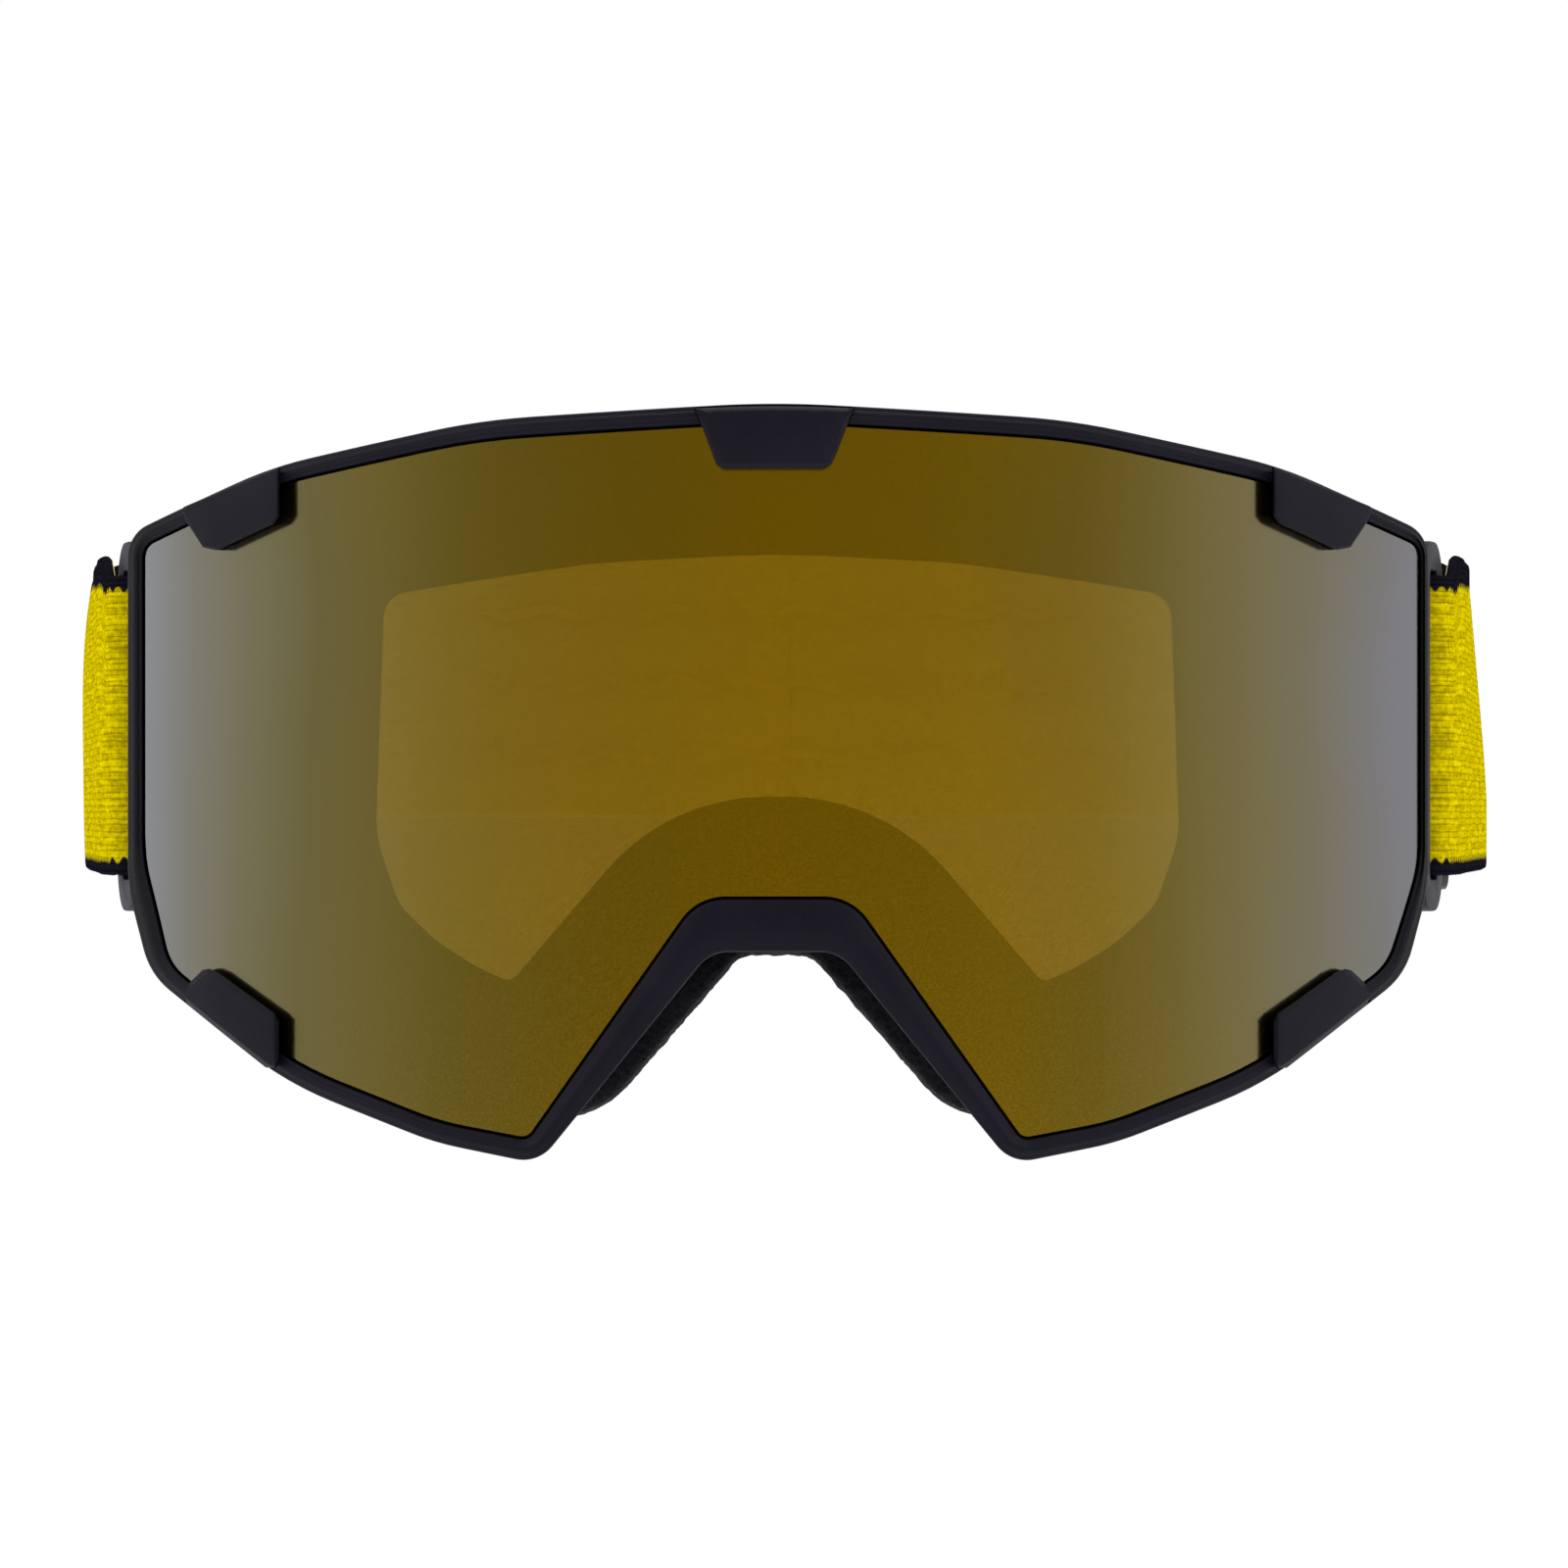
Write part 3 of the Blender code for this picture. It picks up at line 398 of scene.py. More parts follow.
# ---- materials
def tint(red, green, blue):
    """Linear colour of an 8-bit screen colour."""
    def linear(value):
        part = value / 255
        return part / 12.92 if part <= 0.04045 else ((part + 0.055) / 1.055) ** 2.4
    return (linear(red), linear(green), linear(blue), 1)


class Field:
    """A value that nodes work out at every point, open to ordinary arithmetic."""

    def __init__(self, nodes, socket):
        self.nodes, self.socket = nodes, socket

    def __add__(self, other):
        return self.nodes.math("ADD", self, other)

    def __sub__(self, other):
        return self.nodes.math("SUBTRACT", self, other)

    def __rsub__(self, other):
        return self.nodes.math("SUBTRACT", other, self)

    def __mul__(self, other):
        return self.nodes.math("MULTIPLY", self, other)

    def __truediv__(self, other):
        return self.nodes.math("DIVIDE", self, other)


class Nodes:
    """Short calls for the nodes of one tree."""

    def __init__(self, tree):
        self.tree = tree

    def node(self, kind, **settings):
        made = self.tree.nodes.new("ShaderNode" + kind)
        for key, value in settings.items():
            setattr(made, key, value)
        return made

    def read(self, node, output=0):
        return Field(self, node.outputs[output])

    def feed(self, socket, value):
        if isinstance(value, Field):
            self.tree.links.new(value.socket, socket)
        else:
            socket.default_value = value

    def feed_all(self, node, values, output=0):
        """Feed the node's inputs, by name or number, and read its output."""
        for key, value in values.items():
            self.feed(node.inputs[key], value)
        return self.read(node, output)

    def math(self, operation, *values):
        return self.feed_all(self.node("Math", operation=operation), dict(enumerate(values)))

    def split(self, vector):
        made = self.node("SeparateXYZ")
        self.feed(made.inputs[0], vector)
        return [self.read(made, axis) for axis in range(3)]

    def span(self, value, low, high, to_low=0, to_high=1, kind="LINEAR"):
        made = self.node("MapRange", interpolation_type=kind)
        return self.feed_all(made, dict(enumerate((value, low, high, to_low, to_high))))


class Paint(Nodes):
    """A material with a Principled BSDF."""

    def __init__(self, name, roughness, metallic=0, specular=0.5):
        self.material = bpy.data.materials.new(name)
        self.material.use_nodes = True
        super().__init__(self.material.node_tree)
        self.shader = self.tree.nodes["Principled BSDF"]
        self.set("Roughness", roughness)
        self.set("Metallic", metallic)
        self.set("Specular IOR Level", specular)
        self.place = self.read(self.node("TexCoord"), "Object")

    def set(self, name, value):
        self.feed(self.shader.inputs[name], value)

    def grain(self, size, detail=2, place=None, rough=0.5):
        """Noise whose features are about size millimetres."""
        inputs = {"Vector": place or self.place, "Scale": 1 / (size * MM), "Detail": detail,
                  "Roughness": rough}
        return self.feed_all(self.node("TexNoise"), inputs, "Fac")

    def mix(self, part, first, second):
        made = self.node("Mix", data_type="RGBA")
        return self.feed_all(made, {"Factor": part, 6: first, 7: second}, 2)

    def wear(self, value, low, high):
        """Roughness from low to high, following a noise."""
        self.set("Roughness", self.span(value, 0.3, 0.7, low, high))

    def bump(self, height, depth, strength):
        inputs = {"Strength": strength, "Distance": depth * MM, "Height": height}
        self.set("Normal", self.feed_all(self.node("Bump"), inputs, "Normal"))


def moulded(name, dark, light, roughness, specular, texture=0.35, depth=0.03, sides=1):
    """Satin moulded plastic: faint colour drift, fine moulded texture and worn sheen.

    sides below 1 paints shade onto the far left and right of the goggles, making them darker.
    """
    paint = Paint(name, roughness, specular=specular)
    speck = paint.grain(texture, 3, rough=0.65)
    drift = paint.grain(14, 3) * 0.6 + speck * 0.4
    colour = paint.mix(paint.span(drift, 0.35, 0.65), tint(*dark), tint(*light))
    # painted shade: darker towards the far left and right of the goggles
    if sides < 1:
        across = paint.math("ABSOLUTE", paint.split(paint.place)[0])
        colour = paint.mix(paint.span(across, *SHADED_SIDES_FROM, 0, 1 - sides), colour, BLACK)
    paint.set("Base Color", colour)
    paint.wear(speck, roughness - 0.06, roughness + 0.08)
    paint.bump(speck, depth, 0.6)
    return paint.material


def foam_material(name, dark, light, cell, depth, sheen=0):
    """Open-cell foam: pits of about cell millimetres between matt walls, with painted shade darkening the
    pits.
    """
    paint = Paint(name, 0.95, specular=0.15)
    cells = {"Vector": paint.place, "Scale": 1 / (cell * MM)}
    pits = paint.feed_all(paint.node("TexVoronoi"), cells, "Distance")
    height = pits + paint.grain(cell * 0.45, 4, rough=0.7) * 0.7
    # painted shade: darker in the pits, lighter on the walls, with random tone from the noise
    paint.set("Base Color", paint.mix(paint.span(height, 0.3, 1), tint(*dark), tint(*light)))
    paint.bump(height, depth, 0.9)
    paint.set("Sheen Weight", sheen)
    paint.set("Sheen Roughness", 0.6)
    return paint.material


def steel_material():
    """Turned steel, with fine rings across the pin's axis."""
    paint = Paint("pin_steel", 0.3, metallic=1)
    wave = paint.node("TexWave", bands_direction="Z")
    turned = paint.feed_all(wave, {"Vector": paint.place, "Scale": 1200, "Distortion": 3}, "Fac")
    smear = paint.grain(1.5, 3)
    paint.set("Base Color", paint.mix(smear, tint(120, 120, 124), tint(178, 178, 180)))
    paint.wear(smear, 0.24, 0.42)
    paint.bump(turned, 0.01, 0.4)
    return paint.material


def mirror_lens():
    """Gold mirror coating on amber polycarbonate; towards the sides a painted reflection of the bright
    surroundings turns it silver grey.
    """
    paint = Paint("lens_mirror", 0.16, metallic=1)
    across = paint.split(paint.place)[0] + (paint.grain(60, 1) - 0.5) * 0.014
    # the ramp paints the coating's gold in the middle and a silver grey painted reflection towards the sides
    ramp = paint.node("ValToRGB")
    elements = ramp.color_ramp.elements
    while len(elements) < len(LENS_COLOURS_AND_REFLECTION):
        elements.new(0.5)
    for element, (place, colour) in zip(elements, LENS_COLOURS_AND_REFLECTION):
        element.position = 0.5 + 0.5 * place / LENS_SPAN
        element.color = (*colour, 1)
    share = paint.span(across, -LENS_SPAN * MM, LENS_SPAN * MM)
    paint.set("Base Color", paint.feed_all(ramp, {"Fac": share}, "Color"))
    grit = paint.grain(0.35, 2)
    paint.wear(grit, 0.13, 0.2)
    paint.bump(grit, 0.004, 0.5)
    see_through(paint, LENS_SEEN, LENS_TRANSMIT)
    return paint.material


def see_through(paint, colour, share):
    """Let that share of the light straight through, tinted."""
    clear = paint.feed_all(paint.node("BsdfTransparent"), {"Color": colour})
    both = paint.feed_all(paint.node("MixShader"), {0: share, 1: paint.read(paint.shader), 2: clear})
    paint.feed(paint.tree.nodes["Material Output"].inputs["Surface"], both)


def clear_sheet(name, colour, share, roughness=0.08):
    """Clear tinted plastic with faint dust."""
    paint = Paint(name, roughness, specular=0.4)
    dust = paint.grain(9, 4)
    paint.set("Base Color", paint.mix(paint.span(dust, 0.4, 0.7), tint(60, 44, 8), tint(84, 64, 16)))
    paint.wear(dust, roughness, roughness + 0.1)
    see_through(paint, colour, share)
    return paint.material


def knit_material():
    """Knitted elastic: rows of small loops, runs of open stitches, black wavy borders, with painted shade in
    the pits and painted highlight on the raised tufts.

    The attribute "cloth" holds the place along the strap, the place across it and the width
    of the upper border, all in millimetres. A width below 0 marks the pale lining.
    """
    paint = Paint("strap_knit", 0.95, specular=0)
    cloth = paint.node("Attribute", attribute_name="cloth")
    along, over, border = paint.split(paint.read(cloth, "Vector"))
    wobble = (paint.grain(1.6, 2) - 0.5) * 0.35
    row = (over + wobble) / KNIT_ROW
    odd = paint.math("FLOORED_MODULO", paint.math("FLOOR", row), 2) * 0.5
    loop = (along + wobble) / KNIT_LOOP + odd + row * 0.22

    def humps(value, power):
        wave = paint.math("ABSOLUTE", paint.math("SINE", value * pi))
        return paint.math("POWER", wave, power)

    fine = (1 - humps(row, 0.5) * humps(loop, 0.5)) * 0.2
    run = paint.span(humps(along / OPEN_RUN + odd, 1), 0.4, 0.9)
    pits = paint.math("MAXIMUM", fine, (1 - humps(row, 0.7)) * run)
    place = paint.feed_all(paint.node("CombineXYZ"), {"X": along / SLUB_LENGTH, "Y": over / SLUB_WIDTH})
    slub = paint.grain(1 / MM, 3, place, 0.65)
    fibre = paint.grain(0.25, 3, rough=0.7)
    tufts = (paint.grain(0.9, 3, rough=0.6) + slub) * 0.5
    height = fibre * 0.6 - pits + tufts * 0.6

    wave = paint.math("SINE", along * (2 * pi / BORDER_WAVE)) * BORDER_SWING
    edge = wave + (tufts - 0.5) * 1.6
    above = over + border + edge - STRAP_HALF
    below = edge + (LOWER_BORDER - STRAP_HALF) - over
    outside = paint.math("GREATER_THAN", border, 0)
    black = outside * paint.span(paint.math("MAXIMUM", above, below), -0.15, 0.15)
    # painted shade: the yarn darkens in the pits and open runs and on the low tufts; painted highlight: paler
    # on the raised tufts
    shadow = paint.span(pits - fibre * 0.35, -0.1, 0.95)
    yellow = paint.mix(shadow, YARN_YELLOW, YARN_SHADED)
    yellow = paint.mix(paint.span(tufts, 0.5, 0.62, 0, 0.8), yellow, YARN_HIGHLIGHT)
    yellow = paint.mix(paint.span(tufts, 0.5, 0.38, 0, 0.5), yellow, YARN_SHADED)
    yellow = paint.mix(outside, YARN_LINING, yellow)
    # painted shade and highlight on the black borders: darker where the knit is low, lighter where it is
    # raised
    shaded_ink = paint.mix(paint.span(height, -0.3, 1), tint(5, 4, 8), tint(26, 25, 34))
    paint.set("Base Color", paint.mix(black, yellow, shaded_ink))
    paint.bump(height, 0.13, 0.8)
    return paint.material


def silicone_material():
    """Soft, slightly glossy silicone."""
    paint = Paint("grip_silicone", 0.35, specular=0.5)
    blur = paint.grain(2.5, 2)
    paint.set("Base Color", paint.mix(blur, tint(240, 228, 150), tint(247, 237, 165)))
    paint.wear(blur, 0.25, 0.45)
    paint.bump(paint.grain(0.8), 0.03, 0.5)
    return paint.material


BLACK, WHITE = (0, 0, 0, 1), (1, 1, 1, 1)
SHADED_SIDES_FROM = (0.078, 0.086)      # metres from the middle where the painted shade on the sides begins and is darkest
LENS_SPAN = 88
# place across the lens in millimetres and the colour painted there: the mirror's gold in the middle, painted
# reflection of the bright surroundings towards the sides
LENS_COLOURS_AND_REFLECTION = [
    (-86, (0.3, 0.31, 0.335)), (-79, (0.245, 0.235, 0.195)), (-71, (0.205, 0.19, 0.105)),
    (-62, (0.18, 0.15, 0.056)), (-52, (0.215, 0.165, 0.04)), (-42, (0.235, 0.172, 0.025)),
    (-26, (0.32, 0.2, 0.012)), (0, (0.375, 0.215, 0.003)), (26, (0.37, 0.225, 0.009)),
    (40, (0.275, 0.186, 0.02)), (52, (0.235, 0.18, 0.044)), (62, (0.22, 0.18, 0.075)),
    (72, (0.218, 0.195, 0.125)), (80, (0.23, 0.22, 0.2)), (86, (0.24, 0.235, 0.26)),
]
LENS_SEEN = (0.78, 0.54, 0.11, 1)
LENS_TRANSMIT = 0.125
KNIT_ROW, KNIT_LOOP = 0.9, 0.8
OPEN_RUN, SLUB_LENGTH, SLUB_WIDTH = 24, 9, 0.9
BORDER_WAVE, BORDER_SWING, LOWER_BORDER = 1.6, 0.35, 2
# yarn colour, its painted shade, its painted highlight and the lining
YARN_YELLOW, YARN_SHADED = (0.5, 0.395, 0, 1), (0.13, 0.098, 0, 1)
YARN_HIGHLIGHT, YARN_LINING = (0.74, 0.6, 0.001, 1), (0.92, 0.87, 0.42, 1)

MATERIALS = {
    # the frame gets painted shade at its far left and right
    "frame": moulded("frame_black", (13, 11, 20), (20, 17, 29), 0.55, 0.09, sides=0.3),
    "clip": moulded("clip_black", (14, 12, 21), (21, 19, 30), 0.5, 0.1),
    "lug": moulded("lug_black", (18, 16, 24), (26, 24, 33), 0.55, 0.2),
    # the outrigger's grey is painted light: a lighter copy of the frame's black, for the side light falling
    # on it
    "outrigger": moulded("outrigger_lit_grey", (26, 23, 34), (34, 32, 44), 0.5, 0.07),
    "slider": moulded("slider_black", (20, 20, 22), (32, 32, 35), 0.42, 0.45),
    "foam": foam_material("face_foam", (5, 4, 7), (24, 22, 28), 0.9, 0.35),
    "fleece": foam_material("face_fleece", (7, 6, 9), (32, 30, 37), 0.7, 0.45, sheen=0.12),
    "vent": foam_material("vent_foam", (6, 6, 8), (38, 37, 42), 1.3, 0.5),
    "gasket": foam_material("gasket_foam", (9, 9, 11), (26, 25, 29), 0.4, 0.12),
    "steel": steel_material(),
    "mirror": mirror_lens(),
    "lens_back": clear_sheet("lens_back", (0.95, 0.9, 0.8, 1), 0.96),
    "inner": clear_sheet("inner_clear", (0.97, 0.93, 0.85, 1), 0.93),
    "knit": knit_material(),
    "silicone": silicone_material(),
    "thread": moulded("stitch_thread", (14, 14, 18), (40, 40, 48), 0.8, 0.2, 0.2, 0.05),
}


# ---- lens stack
def lens_plate(name, inset, front, thick, rows):
    """Lens sheet inside the rim; its straight side edges part the top from the bottom."""
    loop = rim_inner(inset)
    right = max(p.x for p in loop)
    side = [p.y for p in loop if p.x > right - 0.01]
    top = sorted({(p.x, p.y) for p in loop if p.y >= max(side) - 0.01})
    bottom = sorted({(p.x, p.y) for p in loop if p.y <= min(side) + 0.01})
    return curved_slab(name, top, bottom, front, front + thick, widest=1.6, least=0.15, rows=rows)


def lens_stack():
    lens = lens_plate("mirror_lens", LENS_INSET, 0, LENS_THICK, 4)
    hand_over(lens, "mirror", "goggle", "lens_mirror", "outer_lens")
    lens.data.materials.append(MATERIALS["lens_back"])
    for face in lens.data.polygons:
        face.material_index = 1 if face.normal.y > 0.5 else 0

    front = LENS_THICK + GAP
    back = front + GASKET_THICK
    soft, swell = 0.5, 0.15
    section = [
        (GASKET_INSET + soft, front), (GASKET_REACH - soft, front), (GASKET_REACH, front + soft),
        (GASKET_REACH + swell, 0.5 * (front + back)), (GASKET_REACH, back - soft),
        (GASKET_REACH - soft, back), (GASKET_INSET + soft, back), (GASKET_INSET, back - soft),
        (GASKET_INSET, front + soft),
    ]
    gasket = ring_piece("lens_seal", [on_lens(rim_inner(inset), depth) for inset, depth in section], 60)
    hand_over(gasket, "gasket", "goggle", "foam", "lens_gasket")

    inner = lens_plate("clear_inner_lens", GASKET_INSET, back + GAP, INNER_LENS_THICK, 2)
    hand_over(inner, "inner", "goggle", "lens_clear", "inner_lens")


# ---- frame
def rim_loops():
    """Section of the rim: rounded edges and a low crown between them."""
    outer, inner = [], []
    for angle in (radians(a) for a in (0, 22, 45, 67, 90)):
        inset = RIM_ROUND * (1 - cos(angle))
        depth = RIM_ROUND * (1 - sin(angle)) - RIM_PROUD
        outer.append(on_lens(rim_outer(inset), depth))
        inner.append(on_lens(rim_inner(-inset), depth))
    edge_out, edge_in = rim_outer(RIM_ROUND), rim_inner(-RIM_ROUND)
    crown = []
    for part in (0.2, 0.4, 0.6, 0.8):
        lift = RIM_PROUD + (RIM_CROWN - RIM_PROUD) * 4 * part * (1 - part)
        crown.append(on_lens(between(edge_out, edge_in, part), -lift))
    chamfer = 0.3
    foot = RIM_DEPTH - chamfer
    start = [on_lens(rim_inner(-chamfer), RIM_DEPTH), on_lens(rim_outer(chamfer), RIM_DEPTH)]
    return start + [on_lens(rim_outer(), foot)] + outer + crown + inner[::-1] + [on_lens(rim_inner(), foot)]


def frame_shell():
    """Shell from behind the rim, past the lens ledge, to the flange that carries the foam."""
    front, back = RIM_DEPTH + 0.1, SEAT_DEPTH + FLANGE_THICK
    wall = rim_inner(WALL_INSET)
    lip, lip_inner = seat_outer(FLANGE_INSET - 0.5, FLANGE_NOSE), seat_inner()
    side_start = on_lens(rim_outer(WALL_INSET), front)
    side_end = on_face(seat_outer(FLANGE_INSET + 0.2, FLANGE_NOSE), SEAT_DEPTH + 1.6)
    sides = [between(side_start, side_end, part) for part in (0.1, 0.25, 0.4, 0.55, 0.7, 0.85, 1)]
    rear = [on_face(lip, SEAT_DEPTH + 1.1), on_face(lip, SEAT_DEPTH + 0.3)]
    rear += [on_face(between(lip, lip_inner, part), SEAT_DEPTH) for part in (0.03, 0.25, 0.5, 0.75, 0.97)]
    edge = [on_face(lip_inner, SEAT_DEPTH + 0.3), on_face(lip_inner, back - 0.3)]
    inside_wall = seat_outer(FLANGE_WALL, FLANGE_NOSE)
    inside = [on_face(between(lip_inner, inside_wall, part), back) for part in (0.04, 0.35, 0.7, 0.92)]
    ledge_back = on_lens(wall, LEDGE_DEPTH + LEDGE_THICK)
    corner = on_face(inside_wall, back + 1)
    inner_sides = [between(corner, ledge_back, part) for part in (0, 0.2, 0.4, 0.6, 0.8, 0.95)]
    ledge_edge = rim_inner(LEDGE_WIDTH)
    ledge = [on_lens(ledge_edge, LEDGE_DEPTH + LEDGE_THICK - 0.2), on_lens(ledge_edge, LEDGE_DEPTH),
             on_lens(wall, LEDGE_DEPTH)]
    start = on_lens(rim_outer(WALL_INSET + 0.4), front - 0.05)
    shell = ring_piece("frame_shell", [start, *sides, *rear, *edge, *inside, *inner_sides, *ledge,
                                       on_lens(wall, front)])
    cutters = [vent_cutter(x, VENT_WIDTH, *TOP_CUT) for x in TOP_VENTS]
    cutters += [vent_cutter(side * x, LOW_VENT_WIDTH, *LOW_CUT) for side, _ in SIDES for x in LOW_VENTS]
    join_or_cut(shell, cutters, "DIFFERENCE")
    return shell


def wall_middle_y(x):
    ledge = lens_y(x) + LEDGE_DEPTH + LEDGE_THICK
    flange = face_y(x, 0) - SEAT_DEPTH - FLANGE_THICK
    return 0.5 * (ledge + flange)


def vent_cutter(x, width, low, high):
    """Round-ended window through the frame wall, sheared to follow the frame's curve."""
    outline = rounded_rectangle((-width / 2, -VENT_LENGTH / 2), (width / 2, VENT_LENGTH / 2), VENT_ROUND, 5)
    return prism("vent_cutter", outline, low, high, lambda a, b, h: (x + a, wall_middle_y(x + a) + b, h))


def vent_strip(name, node, keep):
    """Strip of open foam under the vents, inside the frame wall."""
    def strip(extra):
        front = on_lens(rim_inner(WALL_INSET + extra), LEDGE_DEPTH + LEDGE_THICK)
        back = on_face(seat_outer(FLANGE_WALL + extra, FLANGE_NOSE), SEAT_DEPTH + FLANGE_THICK)
        pairs = sorted((pair for pair in zip(front, back) if keep(pair[0])), key=lambda pair: pair[0].x)
        parts = [VENT_FOAM_START + (VENT_FOAM_END - VENT_FOAM_START) * k / 6 for k in range(7)]
        return [[a.lerp(b, part) for a, b in pairs] for part in parts]

    rows = strip(VENT_FOAM_GAP) + strip(VENT_FOAM_GAP + VENT_FOAM)[::-1]
    count = min(len(row) for row in rows)
    rows = [row[(len(row) - count) // 2:][:count] for row in rows]
    verts = [row[i] for i in range(count) for row in rows]
    piece = add_piece(name, verts, tube_faces(len(rows), count), 50)
    roughen(piece, 0.18, 1.1)
    hand_over(piece, "vent", "goggle", "foam", node)


def frame_parts():
    rim = ring_piece("front_rim", rim_loops())
    clip("clip_top", CLIP_TOP, rim, above=3)
    for side, label in SIDES:
        clip("clip_upper_" + label, CLIP_UPPER, rim, side)
        clip("clip_lower_" + label, CLIP_LOWER, rim, side)
    hand_over(rim, "frame", "goggle", "frame", "outer_rim")
    hand_over(frame_shell(), "frame", "goggle", "frame", "frame_body")
    vent_strip("vent_foam_upper", "vent_foam_top", lambda p: p.z > TOP_FOAM_Z)
    for side, label in SIDES:
        vent_strip("vent_foam_lower_" + label, "vent_foam_" + label,
                   lambda p, side=side: p.z < LOW_FOAM_Z and LOW_FOAM_X[0] < side * p.x < LOW_FOAM_X[1])


# ---- lens clips
def clip(name, shape, rim, side=1, above=0.12):
    """Raised block with soft chamfers that holds the lens edge, set in a pocket of the rim."""
    spare, pocket_front, pocket_back = 0.12, -9, 0.05

    def chain(points, by=0):
        ordered = sorted((side * x, z + by) for x, z in points)
        if by:
            ordered[0] = (ordered[0][0] - spare, ordered[0][1])
            ordered[-1] = (ordered[-1][0] + spare, ordered[-1][1])
        return ordered

    block = curved_slab(name + "_block", chain(shape[0]), chain(shape[1]), -CLIP_HEIGHT, -CLIP_BACK)
    bevel(block, CLIP_BEVEL, 1, 50, 32)
    bevel(block, 0.22, 2, 20)
    pocket = curved_slab("pocket", chain(shape[0], above), chain(shape[1], -spare), pocket_front, pocket_back)
    join_or_cut(rim, [pocket], "DIFFERENCE")
    hand_over(block, "clip", "goggle", "clip", name)


# ---- face foam
def foam_layer(node, thick, depth, kind, height, size):
    """One layer of the face foam, its sides swelling a little between the glue lines."""
    swell, grow, sag = 0.7, 0.12, 0.5
    rear, front = depth - thick - grow, depth + grow
    parts = (0.04, 0.2, 0.4, 0.6, 0.8, 0.96)

    def inner(spread):
        return seat_inner(FOAM_SETBACK + spread, FOAM_NOSE)

    def side(loop_at, sign, order):
        rows = []
        for part in order:
            pinch = swell * (2 * part - 1) ** 2
            rows.append(on_face(loop_at(sign * pinch), front + (rear - front) * part))
        return rows

    edges = seat_outer(swell), inner(-swell)
    loops = side(seat_outer, 1, parts)
    loops += [on_face(between(*edges, part), rear - sag * part * (1 - part)) for part in parts]
    loops += side(inner, -1, parts[::-1])
    loops += [on_face(between(*edges[::-1], part), front) for part in parts]
    piece = ring_piece("face_" + node, loops, 180)
    roughen(piece, height, size, thick)
    hand_over(piece, kind, "goggle", kind, node)


def face_foam():
    depth = FOAM_DEPTH
    for node, thick in FOAM_LAYERS:
        kind, height = ("fleece", 0.28) if node == "foam_fleece" else ("foam", 0.22)
        foam_layer(node, thick, depth, kind, height, 1.3)
        depth -= thick + GAP


# ---- outriggers
def outrigger_place(side):
    """Map (along, outward, height) of an outrigger to x, y, z."""
    s, c = sin(OUTRIGGER_ANGLE), cos(OUTRIGGER_ANGLE)

    def place(u, v, h):
        return (side * (HINGE_X + u * s + v * c), HINGE_Y + u * c - v * s, HINGE_Z + h)
    return place


def outrigger(side, label):
    """Flat arm with a knuckle at its hinge and a tall slot for the strap."""
    place = outrigger_place(side)

    def lay(a, b, h):
        return place(a, h, b)

    half = OUTRIGGER_THICK / 2
    shape = rounded_rectangle((NECK_LENGTH, -OUTRIGGER_HALF), (OUTRIGGER_LENGTH, OUTRIGGER_HALF),
                              OUTRIGGER_CORNER, 10)
    arm = prism("strap_arm_" + label, shape, -half, half, lay)
    neck_half = half + KNUCKLE_EXTRA
    neck_angle = asin(neck_half / KNUCKLE_RADIUS)
    keyhole = [(NECK_LENGTH + 1.5, -neck_half), (NECK_LENGTH + 1.5, neck_half)]
    for step in range(37):
        angle = neck_angle + 2 * (pi - neck_angle) * step / 36
        keyhole.append((KNUCKLE_RADIUS * cos(angle), KNUCKLE_RADIUS * sin(angle)))
    knuckle = prism("knuckle", keyhole, -KNUCKLE_HALF, KNUCKLE_HALF, place)
    middle = STRAP_Z - HINGE_Z
    reach = STRAP_HALF + SLOT_SPARE
    outline = rounded_rectangle((SLOT_START, middle - reach), (SLOT_END, middle + reach - SLOT_PINCH), 0.9, 4)
    slot = prism("slot", outline, -KNUCKLE_RADIUS, KNUCKLE_RADIUS, lay)
    join_or_cut(arm, [knuckle], "UNION")
    join_or_cut(arm, [pin_bore(place), slot], "DIFFERENCE")
    clean(arm)
    bevel(arm, 0.45)
    hand_over(arm, "outrigger", "outrigger_" + label, "outrigger", "outrigger_" + label)


def pin_bore(place):
    return prism("bore", circle(PIN_BORE), -BORE_REACH, BORE_REACH, place)


def hinge(side, label):
    """Two ears on a base plate against the side wall of the frame, and the pin through them."""
    place = outrigger_place(side)
    wall_start, wall_end = Vector(LUG_WALL[0]), Vector(LUG_WALL[1])
    along = (wall_end - wall_start).normalized()
    normal = Vector((along.y, -along.x))
    (near, far), (low, high) = LUG_SPAN, LUG_BASE
    s, c = sin(OUTRIGGER_ANGLE), cos(OUTRIGGER_ANGLE)
    base = []
    for t, d in ((near, low), (far, low), (far, high), (near, high)):
        p = wall_start + along * t + normal * d - Vector((HINGE_X, HINGE_Y))
        base.append((p.x * s + p.y * c, p.x * c - p.y * s))
    start = KNUCKLE_HALF + LUG_GAP
    end = start + LUG_EAR
    lug = prism("hinge_bracket_" + label, base, -end, end, place)
    points = base + circle(KNUCKLE_RADIUS)
    outline = [points[i] for i in geometry.convex_hull_2d(points)]
    ears = []
    for sign in (-1, 1):
        low, high = sorted((sign * start, sign * (end + 0.01)))
        ears.append(prism("ear", outline, low, high, place))
    join_or_cut(lug, ears, "UNION")
    join_or_cut(lug, [pin_bore(place)], "DIFFERENCE")
    clean(lug)
    bevel(lug, 0.35)
    hand_over(lug, "lug", "goggle", "frame", "hinge_lug_" + label)
    pin = prism("steel_pin_" + label, circle(PIN_RADIUS, 40), -end - PIN_END, end + PIN_END, place)
    bevel(pin, 0.3)
    hand_over(pin, "steel", "goggle", "steel", "hinge_pin_" + label)


